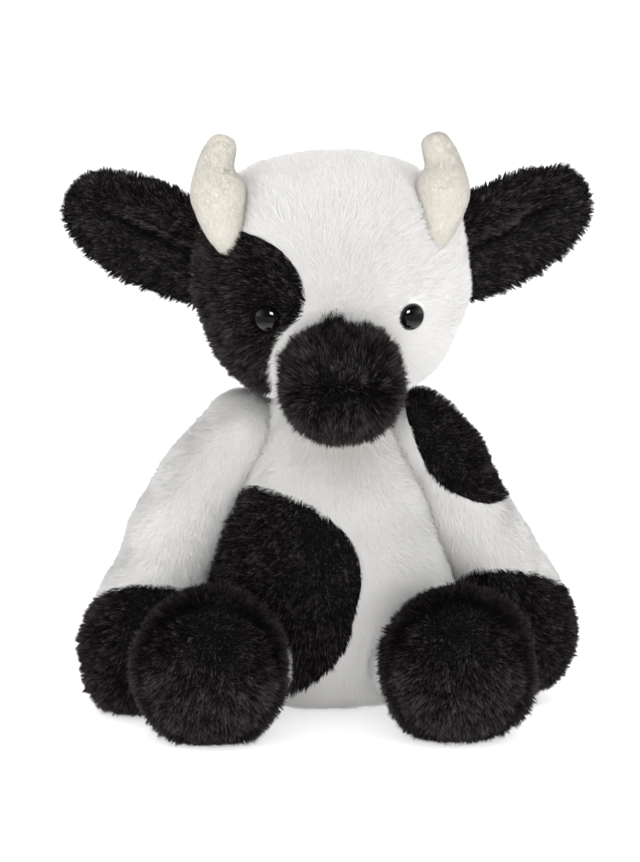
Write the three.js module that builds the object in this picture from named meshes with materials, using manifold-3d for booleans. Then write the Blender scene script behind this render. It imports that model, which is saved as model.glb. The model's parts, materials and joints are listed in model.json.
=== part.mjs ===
// A sitting plush cow, sewn from pile fabric panels and filled with loose fibre.
// Millimetres, Z up. The face looks along -Y and +X is the onlooker's right, so the cow's own
// left side is +X. The seat, both feet and the right front hoof rest on the plane z = 0.

import * as THREE from 'three';
import { mergeVertices } from 'three/addons/utils/BufferGeometryUtils.js';
import Module from 'manifold-3d';

const wasm = await Module();
wasm.setup();

// Fabric and sewing
const PILE_FABRIC = 5;            // backing and pile of the long fur fabric
const VELOUR = 2.2;               // the short cream fabric of the horns
const SEAM_GAP = 0.3;             // left between panels that are sewn edge to edge
const JOINT_GAP = 0.8;            // round the ball that a limb turns about
const FLAT_DEPTH = 0.5;           // how far a resting form is pressed flat
const REACH = 500;                // overrun of every cutting block

// Body
const BODY_HEIGHT = 172;
const BODY_HALF_WIDTH = 66;
const BODY_HALF_DEPTH = 57;
const BODY_TOP_LEAN = 4;          // how far the neck comes forward of the seat
const NECK_HEIGHT = 162;          // the flat seam between body and head
const BODY_FULLNESS = 2.9;
const BODY_GIRTH_SHARES = [
  [0, 1.06], [0.12, 1.04], [0.33, 1.0], [0.5, 0.91], [0.7, 0.73], [0.86, 0.62], [1, 0.6],
];

// Bag of plastic pellets that weighs the seat down
const BAG_HALF_WIDTH = 33;
const BAG_HALF_DEPTH = 24;
const BAG_HEIGHT = 30;
const BAG_BACK = 14;              // its centre behind the middle of the seat
const BAG_GIRTH_SHARES = [[0, 1], [1, 1]];

// Head
const HEAD_BOTTOM = 156;
const HEAD_HEIGHT = 125;
const HEAD_HALF_WIDTH = 68.5;
const HEAD_HALF_DEPTH = 56;
const HEAD_FORWARD = 8;           // centre of the head in front of the neck's axis
const HEAD_TURN = THREE.MathUtils.degToRad(4.5);
const HEAD_FULLNESS = 2.25;
const HEAD_GIRTH_SHARES = [
  [0, 1.06], [0.15, 1.0], [0.3, 0.97], [0.45, 0.995], [0.65, 0.985], [0.85, 1.04], [1, 1.09],
];

// Muzzle
const MUZZLE_HALF_WIDTH = 28.5;
const MUZZLE_HALF_HEIGHT = 27.4;
const MUZZLE_BACK = 30;           // inner end, in front of the neck's axis
const MUZZLE_FRONT = 95;
const MUZZLE_HEIGHT = 174.5;      // its centre line above the table
const MUZZLE_FULLNESS = 2.5;
const MUZZLE_TOP_FULLNESS = 2.6;  // squarer above its centre line than below
const MUZZLE_GIRTH_SHARES = [[0, 0.9], [0.5, 1.0], [0.8, 1.02], [1, 1.0]];
const MOUTH_HALF_WIDTH = 13;
const MOUTH_HALF_HEIGHT = 2.2;
const MOUTH_DEPTH = 3.4;

// Safety eyes: a dome and its shank, held by a washer inside the head
const EYE_RADIUS = 7;
const EYE_DOME = 4.6;
const DOME_SHARES = [0, 0.25, 0.5, 0.75, 0.92];   // of a quarter turn, one per ring of the dome
const EYE_SUNK = 1.9;             // the dome's rim lies this deep in the pile
const EYE_SPACING = 72.5;
const EYE_HEIGHT = 205.5;
const SHANK_RADIUS = 2.4;
const SHANK_LENGTH = 11;
const SHANK_RIBS = 3;
const SHANK_RIB_HEIGHT = 0.25;
const WASHER_RADIUS = 8.5;
const WASHER_THICKNESS = 1.6;
const WASHER_GAP = 0.15;

// Horns
const HORN_RADIUS = 13.4;
const HORN_FOOT = [52.7, -36, -46];   // centre line, from the crown of the head
const HORN_LOWER = [54.4, -36, -36];
const HORN_MIDDLE = [56.6, -34, -20];
const HORN_UPPER = [57.6, -28, -4];
const HORN_TIP = [52.6, -23, 12.2];
const HORN_OFFSET = -3;               // both stand this far towards the cow's right
const HORN_FULLNESS = 3;
const HORN_GIRTH_SHARES = [
  [0, 0.36], [0.07, 0.42], [0.16, 0.68], [0.29, 0.88], [0.42, 0.99], [0.55, 1.0], [0.64, 0.9],
  [0.73, 0.78], [0.8, 0.74], [0.89, 0.74], [1, 0.8],
];

// Ears: a front and a back panel, sewn round the edge and cupped forwards
const EAR_LENGTH = 76;
const EAR_HALF_WIDTH = 25.6;
const EAR_CUP = 7.5;
const EAR_ROOT = [60.5, 10, -52];   // from the crown of the head
const EAR_DROP = 4.2;             // the middle of the leaf lies below the line of its root
const EAR_RISE = THREE.MathUtils.degToRad(26.5);
const EAR_SWEEP = THREE.MathUtils.degToRad(6);
const EAR_EDGE_SHARE = 0.3;
const EAR_WIDTH_SHARES = [
  [0, 0.9], [0.25, 1.0], [0.45, 1.02], [0.6, 0.96], [0.78, 0.82], [0.9, 0.63], [0.96, 0.47],
  [1, 0.2],
];
const EAR_SWING = THREE.MathUtils.degToRad(16);
const EAR_SWING_SHARES = [-1, -0.5, 0, 0.5, 1];   // turns of the ear that the head makes room for

// Arms, each with a hoof at its end
const SHOULDER = [42, -2, 140];
const SHOULDER_RADIUS = 21;
const HOOF_RADIUS = 27.5;
const HOOF_SEAM_HEIGHT = 54;      // where it crosses the line of the right arm
const HOOF_SEAM_TILT = THREE.MathUtils.degToRad(35);
const ARM_FULLNESS = 2.7;
const ARM_TIP_SHARE = 0.32;       // of its length, rounded off at the hoof
const ARM_START_SHARE = 0.12;     // of its length, taken up by the ball at the shoulder
const ARM_GIRTH_SHARES = [
  [0, 0.74], [0.2, 0.8], [0.42, 0.82], [0.56, 0.85], [0.66, 0.94], [0.78, 1.0], [1, 1.02],
];
const RIGHT_UPPER_ARM = [57, -5, 123];
const RIGHT_ELBOW = [71, -10, 104];
const RIGHT_WRIST = [86, -18, 68];
const RIGHT_HOOF = [98.5, -25, 29];
const LEFT_UPPER_ARM = [57, -4, 123];
const LEFT_ELBOW = [65, -4, 104];
const LEFT_WRIST = [82, -2, 71];
const LEFT_HOOF = [96, 2, 36];
const LEFT_HOOF_LIFT = 5.5;       // the left hoof hangs this far above the table

// Legs, each with a round foot and a sole
const HIP = [42, -47, 30];
const HIP_RADIUS = 22;
const LEG_RADIUS = 20.5;
const LEG_TIP_SHARE = 0.32;
const LEG_START_SHARE = 0.45;
const LEG_GIRTH_SHARES = [[0, 1], [1, 1]];
const ANKLE_INSET = 26;           // the leg's line ends this far inside the foot
const FOOT_HALF_WIDTH = 37;
const FOOT_HALF_HEIGHT = 37.5;
const FOOT_LENGTH = 67;
const FOOT_FULLNESS = 2.35;
const FOOT_LOWER_FULLNESS = 2.4;  // squarer below its centre line, where it sags
const FOOT_GIRTH_SHARES = [[0, 0.94], [0.5, 1.0], [0.75, 1.01], [1, 0.98]];
const FOOT_SPLAY = 5;             // heel to sole, outwards
const RIGHT_FOOT_X = 59.5;
const RIGHT_HEEL = 50;            // in front of the neck's axis
const LEFT_FOOT_X = 62.5;
const LEFT_HEEL = 46;
const SOLE_SHARE = 0.8;           // of the foot's half-width and half-height

// Tail
const TAIL_ROOT = [0, 53.5, 46];
const TAIL_BEND = [0, 69, 27];
const TAIL_TIP = [0, 82, 11];
const TAIL_RADIUS = 6.5;
const TAIL_FULLNESS = 2.6;
const TAIL_TIP_SHARE = 0.32;
const TAIL_START_SHARE = 0.2;
const TAIL_GIRTH_SHARES = [[0, 1], [1, 0.9]];
const TUFT_RADIUS = 10.5;
const TUFT_END = [0, 106, 9];
const TUFT_FULLNESS = 2;
const TUFT_START_SHARE = -0.4;    // the tuft grips the tail's end, this share of its length back
const TUFT_GIRTH_SHARES = [[0, 0.85], [0.6, 1], [1, 0.7]];

// Black panels in the white fur, as shares of the half-width and height that they lie on
const BELLY_PATCH_SHARES = [
  [-1.15, 0.5], [-0.9, 0.56], [-0.74, 0.63], [-0.58, 0.672], [-0.4, 0.67], [-0.15, 0.637],
  [0.06, 0.577], [0.2, 0.497], [0.225, 0.41], [0.16, 0.31], [0.13, 0.25], [0, 0.17],
  [-0.28, 0.085], [-0.7, 0.06], [-1.15, 0.1],
];
const BELLY_PATCH_BACK = 4;       // how far in front of the side seam the panel ends
const EYE_PATCH_SHARES = [
  [-1.25, 0.8], [-0.95, 0.78], [-0.72, 0.735], [-0.54, 0.705], [-0.39, 0.655], [-0.285, 0.575],
  [-0.25, 0.49], [-0.28, 0.41], [-0.38, 0.35], [-0.45, 0.27], [-0.47, 0.18], [-0.45, 0.09],
  [-0.8, 0.075], [-1.25, 0.3],
];
const EYE_PATCH_BACK = 12;        // the panel runs this far behind the middle of the head
const SHOULDER_PATCH_SHARES = [
  [0.55, 1.04], [0.75, 1.09], [1.02, 1.0], [1.24, 0.82], [1.5, 0.69], [1.3, 0.655],
  [1.06, 0.667], [0.78, 0.74], [0.645, 0.84], [0.555, 0.96],
];
const SHOULDER_PATCH_BACK = 9;
const OUTLINE_STEPS = 20;

// Facets
const BODY_AROUND = 24;
const BODY_RINGS = 10;
const HEAD_AROUND = 24;
const HEAD_RINGS = 10;
const LIMB_AROUND = 14;
const LIMB_RINGS = 8;
const LEG_RINGS = 4;
const FOOT_AROUND = 16;
const FOOT_RINGS = 7;
const SMALL_AROUND = 12;
const SMALL_RINGS = 7;
const HORN_RINGS = 12;
const CAP_STEP = THREE.MathUtils.degToRad(30);
const BALL_END = THREE.MathUtils.degToRad(30);   // past the middle of the ball
const EAR_ACROSS = 6;
const EAR_RINGS = 6;
const ROUND_SIDES = 14;
const LINING_FACETS_SHARE = 0.6;

// Colours
const WHITE_FUR = { color: 0xf4f2ee, roughness: 0.95, metalness: 0 };
const BLACK_FUR = { color: 0x1d1b1c, roughness: 0.95, metalness: 0 };
const CREAM_VELOUR = { color: 0xe8e1d3, roughness: 0.9, metalness: 0 };
const FIBRE = { color: 0xfafaf8, roughness: 1, metalness: 0 };
const MUSLIN = { color: 0xd9d2c2, roughness: 0.95, metalness: 0 };
const EYE_PLASTIC = { color: 0x0b0a0c, roughness: 0.08, metalness: 0 };
const WASHER_PLASTIC = { color: 0xe9e9e4, roughness: 0.4, metalness: 0 };

const vector = (point) => new THREE.Vector3(...point);
const mirrored = (point, side) => new THREE.Vector3(side * point[0], point[1], point[2]);

// Solids

function toSolid(geometry) {
  const bare = geometry.clone();
  bare.deleteAttribute('normal');
  bare.deleteAttribute('uv');
  const merged = mergeVertices(bare);
  return new wasm.Manifold(new wasm.Mesh({
    numProp: 3,
    vertProperties: new Float32Array(merged.attributes.position.array),
    triVerts: new Uint32Array(merged.index.array),
  }));
}

function toGeometry(solid) {
  const mesh = solid.getMesh();
  const geometry = new THREE.BufferGeometry();
  geometry.setAttribute('position', new THREE.BufferAttribute(new Float32Array(mesh.vertProperties), 3));
  geometry.setIndex(new THREE.BufferAttribute(new Uint32Array(mesh.triVerts), 1));
  geometry.computeVertexNormals();
  return geometry;
}

// Closed skin over rings of points. Each end is a fan to its pole, to the middle of its last ring
// where no pole is given, or a strip where the rings are folded flat.
function skinOver(rings, { stripEnds = false, startPole, endPole } = {}) {
  const around = rings[0].length;
  const points = rings.flat();
  const faces = [];
  for (let i = 0; i < rings.length - 1; i += 1) {
    for (let j = 0; j < around; j += 1) {
      const a = i * around + j;
      const b = i * around + ((j + 1) % around);
      faces.push(a, b, b + around, a, b + around, a + around);
    }
  }
  const top = (rings.length - 1) * around;
  if (stripEnds) {
    for (let j = 0; j < around / 2 - 1; j += 1) {
      const k = around - 1 - j;
      faces.push(j, k, k - 1, j, k - 1, j + 1);
      faces.push(top + j, top + k - 1, top + k, top + j, top + j + 1, top + k - 1);
    }
  } else {
    const middle = (ring) => ring.reduce((sum, p) => sum.add(p), new THREE.Vector3())
      .divideScalar(ring.length);
    const first = points.push(startPole ?? middle(rings[0])) - 1;
    const last = points.push(endPole ?? middle(rings[rings.length - 1])) - 1;
    for (let j = 0; j < around; j += 1) {
      const next = (j + 1) % around;
      faces.push(first, next, j, last, top + j, top + next);
    }
  }
  let volume = 0;
  for (let i = 0; i < faces.length; i += 3) {
    const [p, q, r] = [points[faces[i]], points[faces[i + 1]], points[faces[i + 2]]];
    volume += p.dot(new THREE.Vector3().crossVectors(q, r));
  }
  if (volume < 0) faces.reverse();
  const geometry = new THREE.BufferGeometry().setFromPoints(points);
  geometry.setIndex(faces);
  return toSolid(geometry);
}

// Value of a table of [place, share] rows at a place between 0 and 1
function shareAt(table, place) {
  const next = Math.max(1, table.findIndex(([at]) => at >= place));
  const [a, b] = [table[next - 1], table[next]];
  const s = THREE.MathUtils.clamp((place - a[0]) / (b[0] - a[0]), 0, 1);
  return THREE.MathUtils.lerp(a[1], b[1], s * s * (3 - 2 * s));
}

const roundOff = (s, fullness) => (1 - Math.abs(s) ** fullness) ** (1 / fullness);

// One ring across a centre line: round, or squarer where its fullness at [u, v] is over 2
const round = () => 2;
function ringAt(centre, tangent, across, halfWidth, halfDepth, around, fullnessAt = round) {
  const side = across.clone().addScaledVector(tangent, -across.dot(tangent)).normalize();
  const other = new THREE.Vector3().crossVectors(tangent, side);
  return Array.from({ length: around }, (_, j) => {
    const angle = (2 * Math.PI * (j + 0.5)) / around;
    const [u, v] = [Math.cos(angle), Math.sin(angle)];
    const fullness = fullnessAt(u, v);
    const out = (Math.abs(u) ** fullness + Math.abs(v) ** fullness) ** (-1 / fullness);
    return centre.clone()
      .addScaledVector(side, halfWidth * out * u)
      .addScaledVector(other, halfDepth * out * v);
  });
}

// Centre line through some points, lengthened at its ends by the swell of the form
function centreLine(points, startSwell, endSwell) {
  const line = points.map((p) => p.clone());
  const last = line.length - 1;
  line[0].addScaledVector(line[0].clone().sub(line[1]).normalize(), startSwell);
  line[last].addScaledVector(line[last].clone().sub(line[last - 1]).normalize(), endSwell);
  return new THREE.CatmullRomCurve3(line, false, 'centripetal');
}

// Linings and fillings have fewer facets than the skins round them
const facets = (count, swell) => (swell < 0 ? Math.round(count * LINING_FACETS_SHARE) : count);

// A stuffed form between two poles; swell grows it evenly, and a negative one shrinks it
function stuffedForm(form, swell = 0) {
  const curve = centreLine(form.line, swell, swell);
  const around = facets(form.around, swell);
  const count = facets(form.rings, swell);
  const places = Array.from({ length: count - 1 },
    (_, i) => (1 - Math.cos((Math.PI * (i + 1)) / count)) / 2);
  if (form.seat) places.unshift(form.seat / curve.getLength());
  return skinOver(places.map((t) => {
    const end = roundOff(2 * t - 1, form.fullness);
    const share = shareAt(form.girth, t);
    return ringAt(curve.getPointAt(t), curve.getTangentAt(t), form.across,
      end * (form.halfWidth * share + swell), end * (form.halfDepth * share + swell), around,
      form.ringFullness);
  }), { startPole: form.seat ? undefined : curve.getPointAt(0), endPole: curve.getPointAt(1) });
}

// A limb that starts as a ball about its joint, is pinched past it, and ends in a rounded tip
function limbForm(form, swell = 0) {
  const curve = centreLine(form.line, 0, swell);
  const start = curve.getTangentAt(0);
  const ball = form.ball + swell;
  const around = facets(form.around, swell);
  const count = facets(form.rings, swell);
  const rings = [];
  const lastAngle = (form.ballEnd ?? 0) + CAP_STEP / 2;
  for (let angle = CAP_STEP - Math.PI / 2; angle < lastAngle; angle += CAP_STEP) {
    const centre = form.line[0].clone().addScaledVector(start, ball * Math.sin(angle));
    const radius = ball * Math.cos(angle);
    rings.push(ringAt(centre, start, form.across, radius, radius, around));
  }
  for (let i = 0; i < count - 1; i += 1) {
    const step = Math.sin((Math.PI / 2) * (i / (count - 1)));
    const t = form.firstShare + (1 - form.firstShare) * step;
    const end = roundOff(Math.max(0, 1 + (t - 1) / form.tipShare), form.fullness);
    const radius = end * (form.radius * shareAt(form.girth, t) + swell);
    rings.push(ringAt(curve.getPointAt(t), curve.getTangentAt(t), form.across, radius, radius,
      around));
  }
  return skinOver(rings, {
    startPole: form.line[0].clone().addScaledVector(start, -ball),
    endPole: curve.getPointAt(1),
  });
}

const ballAt = (centre, radius) => toSolid(
  new THREE.SphereGeometry(radius, ROUND_SIDES, ROUND_SIDES / 2)
    .rotateX(Math.PI / 2).translate(centre.x, centre.y, centre.z),
);

// Room for a ball to turn in: its flat facets lie outside the true sphere
const roomAt = (centre, radius) => ballAt(centre, radius / Math.cos(Math.PI / ROUND_SIDES) ** 2);

// Everything on one side of a plane: normal points into the block
function beyond(point, normal) {
  const block = new THREE.BoxGeometry(REACH, REACH, REACH).translate(0, 0, REACH / 2);
  block.applyQuaternion(new THREE.Quaternion()
    .setFromUnitVectors(new THREE.Vector3(0, 0, 1), normal.clone().normalize()));
  return toSolid(block.translate(point.x, point.y, point.z));
}

const above = (height) => beyond(new THREE.Vector3(0, 0, height), new THREE.Vector3(0, 0, 1));
const below = (height) => beyond(new THREE.Vector3(0, 0, height), new THREE.Vector3(0, 0, -1));
const inFrontOf = (depth) => beyond(new THREE.Vector3(0, depth, 0), new THREE.Vector3(0, -1, 0));

// Block through the part along Y whose outline is a smooth closed curve of [x, z] points
function outlineBlock(points, shrink = 0) {
  const curve = new THREE.CatmullRomCurve3(
    points.map(([x, z]) => new THREE.Vector3(x, z, 0)), true, 'centripetal');
  const dense = curve.getPoints(OUTLINE_STEPS).slice(0, -1);
  const turn = THREE.ShapeUtils.isClockWise(dense) ? -1 : 1;
  const moved = dense.map((p, i) => {
    const ahead = dense[(i + 1) % dense.length];
    const behind = dense[(i + dense.length - 1) % dense.length];
    const normal = new THREE.Vector2(ahead.y - behind.y, behind.x - ahead.x).normalize();
    return new THREE.Vector2(p.x - turn * shrink * normal.x, p.y - turn * shrink * normal.y);
  });
  const block = new THREE.ExtrudeGeometry(new THREE.Shape(moved),
    { depth: REACH, bevelEnabled: false });
  return toSolid(block.rotateX(Math.PI / 2).translate(0, REACH / 2, 0));
}

// The solid turned about an axis through a point
function turned(solid, point, axis, angle) {
  const matrix = new THREE.Matrix4().makeTranslation(point.x, point.y, point.z)
    .multiply(new THREE.Matrix4().makeRotationAxis(axis.clone().normalize(), angle))
    .multiply(new THREE.Matrix4().makeTranslation(-point.x, -point.y, -point.z));
  return solid.transform(matrix.elements);
}

const group = new THREE.Group();
const headGroup = new THREE.Group();
headGroup.rotation.z = HEAD_TURN;
group.add(headGroup);

function addPiece(parent, name, solid, look) {
  const mesh = new THREE.Mesh(toGeometry(solid), new THREE.MeshStandardMaterial(look));
  mesh.name = name;
  parent.add(mesh);
}

const acrossX = new THREE.Vector3(1, 0, 0);
const acrossZ = new THREE.Vector3(0, 0, 1);
const floor = above(0);
const frontAxis = new THREE.Vector3(0, -1, 0);

// Body form: a pear that stands on its pressed seat

const bodyShape = {
  line: [
    new THREE.Vector3(0, 0, -FLAT_DEPTH),
    new THREE.Vector3(0, 0, BODY_HEIGHT / 3),
    new THREE.Vector3(0, -BODY_TOP_LEAN, BODY_HEIGHT),
  ],
  halfWidth: BODY_HALF_WIDTH,
  halfDepth: BODY_HALF_DEPTH,
  girth: BODY_GIRTH_SHARES,
  fullness: BODY_FULLNESS,
  across: acrossX,
  rings: BODY_RINGS,
  around: BODY_AROUND,
  seat: FLAT_DEPTH,
};
const bodyForm = (swell) => stuffedForm(bodyShape, swell);
const underNeck = below(NECK_HEIGHT - SEAM_GAP);
const overNeck = above(NECK_HEIGHT);

// Limb shapes

const armShapes = {
  right: {
    line: [
      mirrored(SHOULDER, -1), mirrored(RIGHT_UPPER_ARM, -1), mirrored(RIGHT_ELBOW, -1),
      mirrored(RIGHT_WRIST, -1), mirrored(RIGHT_HOOF, -1),
      mirrored([RIGHT_HOOF[0], RIGHT_HOOF[1], -FLAT_DEPTH], -1),
    ],
  },
  left: {
    line: [
      vector(SHOULDER), vector(LEFT_UPPER_ARM), vector(LEFT_ELBOW), vector(LEFT_WRIST),
      vector(LEFT_HOOF), vector([LEFT_HOOF[0], LEFT_HOOF[1], LEFT_HOOF_LIFT]),
    ],
  },
};
for (const shape of Object.values(armShapes)) {
  Object.assign(shape, {
    radius: HOOF_RADIUS,
    ball: SHOULDER_RADIUS,
    girth: ARM_GIRTH_SHARES,
    fullness: ARM_FULLNESS,
    tipShare: ARM_TIP_SHARE,
    firstShare: ARM_START_SHARE,
    across: acrossX,
    rings: LIMB_RINGS,
    around: LIMB_AROUND,
  });
}

const footHeight = FOOT_HALF_HEIGHT - FLAT_DEPTH;
const legShapes = {};
for (const [name, side, footX, footBack] of [
  ['right', -1, RIGHT_FOOT_X, RIGHT_HEEL], ['left', 1, LEFT_FOOT_X, LEFT_HEEL],
]) {
  const footFront = footBack + FOOT_LENGTH;
  const heel = new THREE.Vector3(side * (footX - FOOT_SPLAY / 2), -footBack, footHeight);
  const sole = new THREE.Vector3(side * (footX + FOOT_SPLAY / 2), -footFront, footHeight);
  const forwards = sole.clone().sub(heel).normalize();
  const hip = mirrored(HIP, side);
  const ankle = heel.clone().addScaledVector(forwards, ANKLE_INSET);
  legShapes[name] = {
    hip,
    leg: {
      line: [
        hip, hip.clone().lerp(ankle, 0.5), ankle,
        ankle.clone().addScaledVector(forwards, LEG_RADIUS / 2),
      ],
      radius: LEG_RADIUS,
      ballEnd: BALL_END,
      girth: LEG_GIRTH_SHARES,
      ball: HIP_RADIUS,
      fullness: ARM_FULLNESS,
      tipShare: LEG_TIP_SHARE,
      firstShare: LEG_START_SHARE,
      across: acrossZ,
      rings: LEG_RINGS,
      around: LIMB_AROUND,
    },
    foot: {
      line: [heel, heel.clone().lerp(sole, 0.5), sole],
      halfWidth: FOOT_HALF_HEIGHT / Math.cos(Math.PI / FOOT_AROUND),
      halfDepth: FOOT_HALF_WIDTH,
      girth: FOOT_GIRTH_SHARES,
      fullness: FOOT_FULLNESS,
      ringFullness: (u) => (u < 0 ? FOOT_LOWER_FULLNESS : 2),
      across: acrossZ,
      rings: FOOT_RINGS,
      around: FOOT_AROUND,
    },
  };
}

const tailRoot = vector(TAIL_ROOT);
const tailShape = {
  line: [tailRoot, vector(TAIL_BEND), vector(TAIL_TIP)],
  radius: TAIL_RADIUS,
  ball: TAIL_RADIUS,
  ballEnd: BALL_END,
  girth: TAIL_GIRTH_SHARES,
  fullness: TAIL_FULLNESS,
  tipShare: TAIL_TIP_SHARE,
  firstShare: TAIL_START_SHARE,
  across: acrossX,
  rings: SMALL_RINGS,
  around: SMALL_AROUND,
};

// Rooms that the limbs turn in, taken out of the body
const limbRooms = [
  roomAt(mirrored(SHOULDER, -1), SHOULDER_RADIUS + JOINT_GAP),
  roomAt(vector(SHOULDER), SHOULDER_RADIUS + JOINT_GAP),
  roomAt(mirrored(HIP, -1), HIP_RADIUS + SEAM_GAP),
  roomAt(vector(HIP), HIP_RADIUS + SEAM_GAP),
  roomAt(tailRoot, TAIL_RADIUS + SEAM_GAP),
];
const withoutAll = (solid, cutters) => cutters.reduce((rest, cutter) => rest.subtract(cutter), solid);

const bodyShell = withoutAll(bodyForm(0).intersect(floor).intersect(underNeck)
  .subtract(bodyForm(-PILE_FABRIC)), limbRooms);
const bellyOutline = BELLY_PATCH_SHARES.map(([x, z]) => [x * BODY_HALF_WIDTH, z * BODY_HEIGHT]);
const bellyFront = inFrontOf(-BELLY_PATCH_BACK);
const bellyFrontHole = inFrontOf(-BELLY_PATCH_BACK + SEAM_GAP);
addPiece(group, 'body_skin',
  bodyShell.subtract(outlineBlock(bellyOutline).intersect(bellyFrontHole)), WHITE_FUR);
addPiece(group, 'belly_patch',
  bodyShell.intersect(outlineBlock(bellyOutline, SEAM_GAP)).intersect(bellyFront), BLACK_FUR);

const bagShape = {
  line: [
    new THREE.Vector3(0, BAG_BACK, -FLAT_DEPTH),
    new THREE.Vector3(0, BAG_BACK, BAG_HEIGHT / 2),
    new THREE.Vector3(0, BAG_BACK, BAG_HEIGHT),
  ],
  halfWidth: BAG_HALF_WIDTH,
  halfDepth: BAG_HALF_DEPTH,
  girth: BAG_GIRTH_SHARES,
  fullness: BODY_FULLNESS,
  across: acrossX,
  rings: SMALL_RINGS,
  around: ROUND_SIDES,
};
const insideBody = withoutAll(bodyForm(-PILE_FABRIC - SEAM_GAP).intersect(underNeck), limbRooms);
addPiece(group, 'body_stuffing', insideBody.subtract(stuffedForm(bagShape, SEAM_GAP)), FIBRE);
addPiece(group, 'pellet_bag', insideBody.intersect(stuffedForm(bagShape)), MUSLIN);

// Arms: the body cuts each arm flat along its side, and the ball at the shoulder stays whole

const patchOutline = SHOULDER_PATCH_SHARES.map(([x, z]) => [x * BODY_HALF_WIDTH, z * NECK_HEIGHT]);
for (const [name, side] of [['right', -1], ['left', 1]]) {
  const shape = armShapes[name];
  const shoulder = mirrored(SHOULDER, side);
  const armSolid = (swell) => limbForm(shape, swell)
    .subtract(bodyForm(SEAM_GAP - swell)
      .subtract(roomAt(shoulder, SHOULDER_RADIUS + swell + SEAM_GAP / 2)));
  const shell = armSolid(0).subtract(armSolid(-PILE_FABRIC)).intersect(floor);
  const wrist = shape.line[3].clone();
  wrist.z = HOOF_SEAM_HEIGHT + (side > 0 ? LEFT_HOOF_LIFT : 0);
  const upwards = new THREE.Vector3(0, Math.sin(HOOF_SEAM_TILT), Math.cos(HOOF_SEAM_TILT));
  const sleeve = shell.intersect(beyond(wrist.clone().addScaledVector(upwards, SEAM_GAP), upwards));
  if (side > 0) {
    // The side that lies against the body stays white
    const besideBody = bodyForm(PILE_FABRIC + 2 * SEAM_GAP);
    const patchFront = inFrontOf(SHOULDER_PATCH_BACK);
    const hole = outlineBlock(patchOutline)
      .intersect(inFrontOf(SHOULDER_PATCH_BACK + SEAM_GAP)).subtract(besideBody);
    addPiece(group, 'arm_left_sleeve', sleeve.subtract(hole), WHITE_FUR);
    addPiece(group, 'arm_left_shoulder_patch',
      sleeve.intersect(outlineBlock(patchOutline, SEAM_GAP)).intersect(patchFront)
        .subtract(bodyForm(PILE_FABRIC + 3 * SEAM_GAP)), BLACK_FUR);
  } else {
    addPiece(group, 'arm_right_sleeve', sleeve, WHITE_FUR);
  }
  addPiece(group, `arm_${name}_hoof`,
    shell.intersect(beyond(wrist, upwards.clone().negate())), BLACK_FUR);
  addPiece(group, `arm_${name}_stuffing`, armSolid(-PILE_FABRIC - SEAM_GAP), FIBRE);
}

// Legs: foot ball and sole, with the leg's sleeve between foot and body

for (const name of ['right', 'left']) {
  const { leg, foot } = legShapes[name];
  const footForm = (swell) => stuffedForm(foot, swell);
  const legSolid = (swell) => limbForm(leg, swell);
  const footShell = footForm(0).subtract(footForm(-PILE_FABRIC)).intersect(floor);
  const soleRadius = SOLE_SHARE * FOOT_HALF_WIDTH;
  const soleBlock = (shrink) => toSolid(
    new THREE.CylinderGeometry(soleRadius - shrink, soleRadius - shrink, REACH, ROUND_SIDES)
      .scale(1, 1, FOOT_HALF_HEIGHT / FOOT_HALF_WIDTH)
      .translate(foot.line[2].x, foot.line[1].y - REACH / 2, footHeight));
  const inner = limbForm(leg, -PILE_FABRIC);
  addPiece(group, `leg_${name}_foot`, footShell.subtract(soleBlock(0)).subtract(inner), BLACK_FUR);
  addPiece(group, `leg_${name}_sole`, footShell.intersect(soleBlock(SEAM_GAP)), BLACK_FUR);
  addPiece(group, `leg_${name}_sleeve`,
    legSolid(0).subtract(legSolid(-PILE_FABRIC)).subtract(footForm(SEAM_GAP)).intersect(floor),
    WHITE_FUR);
  addPiece(group, `leg_${name}_stuffing`,
    legSolid(-PILE_FABRIC - SEAM_GAP).add(footForm(-PILE_FABRIC - SEAM_GAP)), FIBRE);
}

// Tail with its tuft

const tuftShape = {
  line: [
    vector(TAIL_TIP).lerp(vector(TUFT_END), TUFT_START_SHARE), vector(TAIL_TIP), vector(TUFT_END),
  ],
  halfWidth: TUFT_RADIUS,
  halfDepth: TUFT_RADIUS,
  girth: TUFT_GIRTH_SHARES,
  fullness: TUFT_FULLNESS,
  across: acrossX,
  rings: SMALL_RINGS,
  around: SMALL_AROUND,
};
const tuft = stuffedForm(tuftShape);
addPiece(group, 'tail_tuft', tuft.intersect(floor), BLACK_FUR);
addPiece(group, 'tail_skin', limbForm(tailShape).subtract(stuffedForm(tuftShape, SEAM_GAP))
  .subtract(bodyForm(SEAM_GAP).subtract(roomAt(tailRoot, TAIL_RADIUS + SEAM_GAP / 2)))
  .intersect(floor), WHITE_FUR);

// Head, in its own frame: the neck's axis is Z and the whole head is turned a little about it

const headShape = {
  line: [
    new THREE.Vector3(0, -HEAD_FORWARD, HEAD_BOTTOM),
    new THREE.Vector3(0, -HEAD_FORWARD, HEAD_BOTTOM + HEAD_HEIGHT / 2),
    new THREE.Vector3(0, -HEAD_FORWARD, HEAD_BOTTOM + HEAD_HEIGHT),
  ],
  halfWidth: HEAD_HALF_WIDTH,
  halfDepth: HEAD_HALF_DEPTH,
  girth: HEAD_GIRTH_SHARES,
  fullness: HEAD_FULLNESS,
  across: acrossX,
  rings: HEAD_RINGS,
  around: HEAD_AROUND,
};
const headForm = (swell) => stuffedForm(headShape, swell);
const headOuter = headForm(0).intersect(overNeck);

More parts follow.
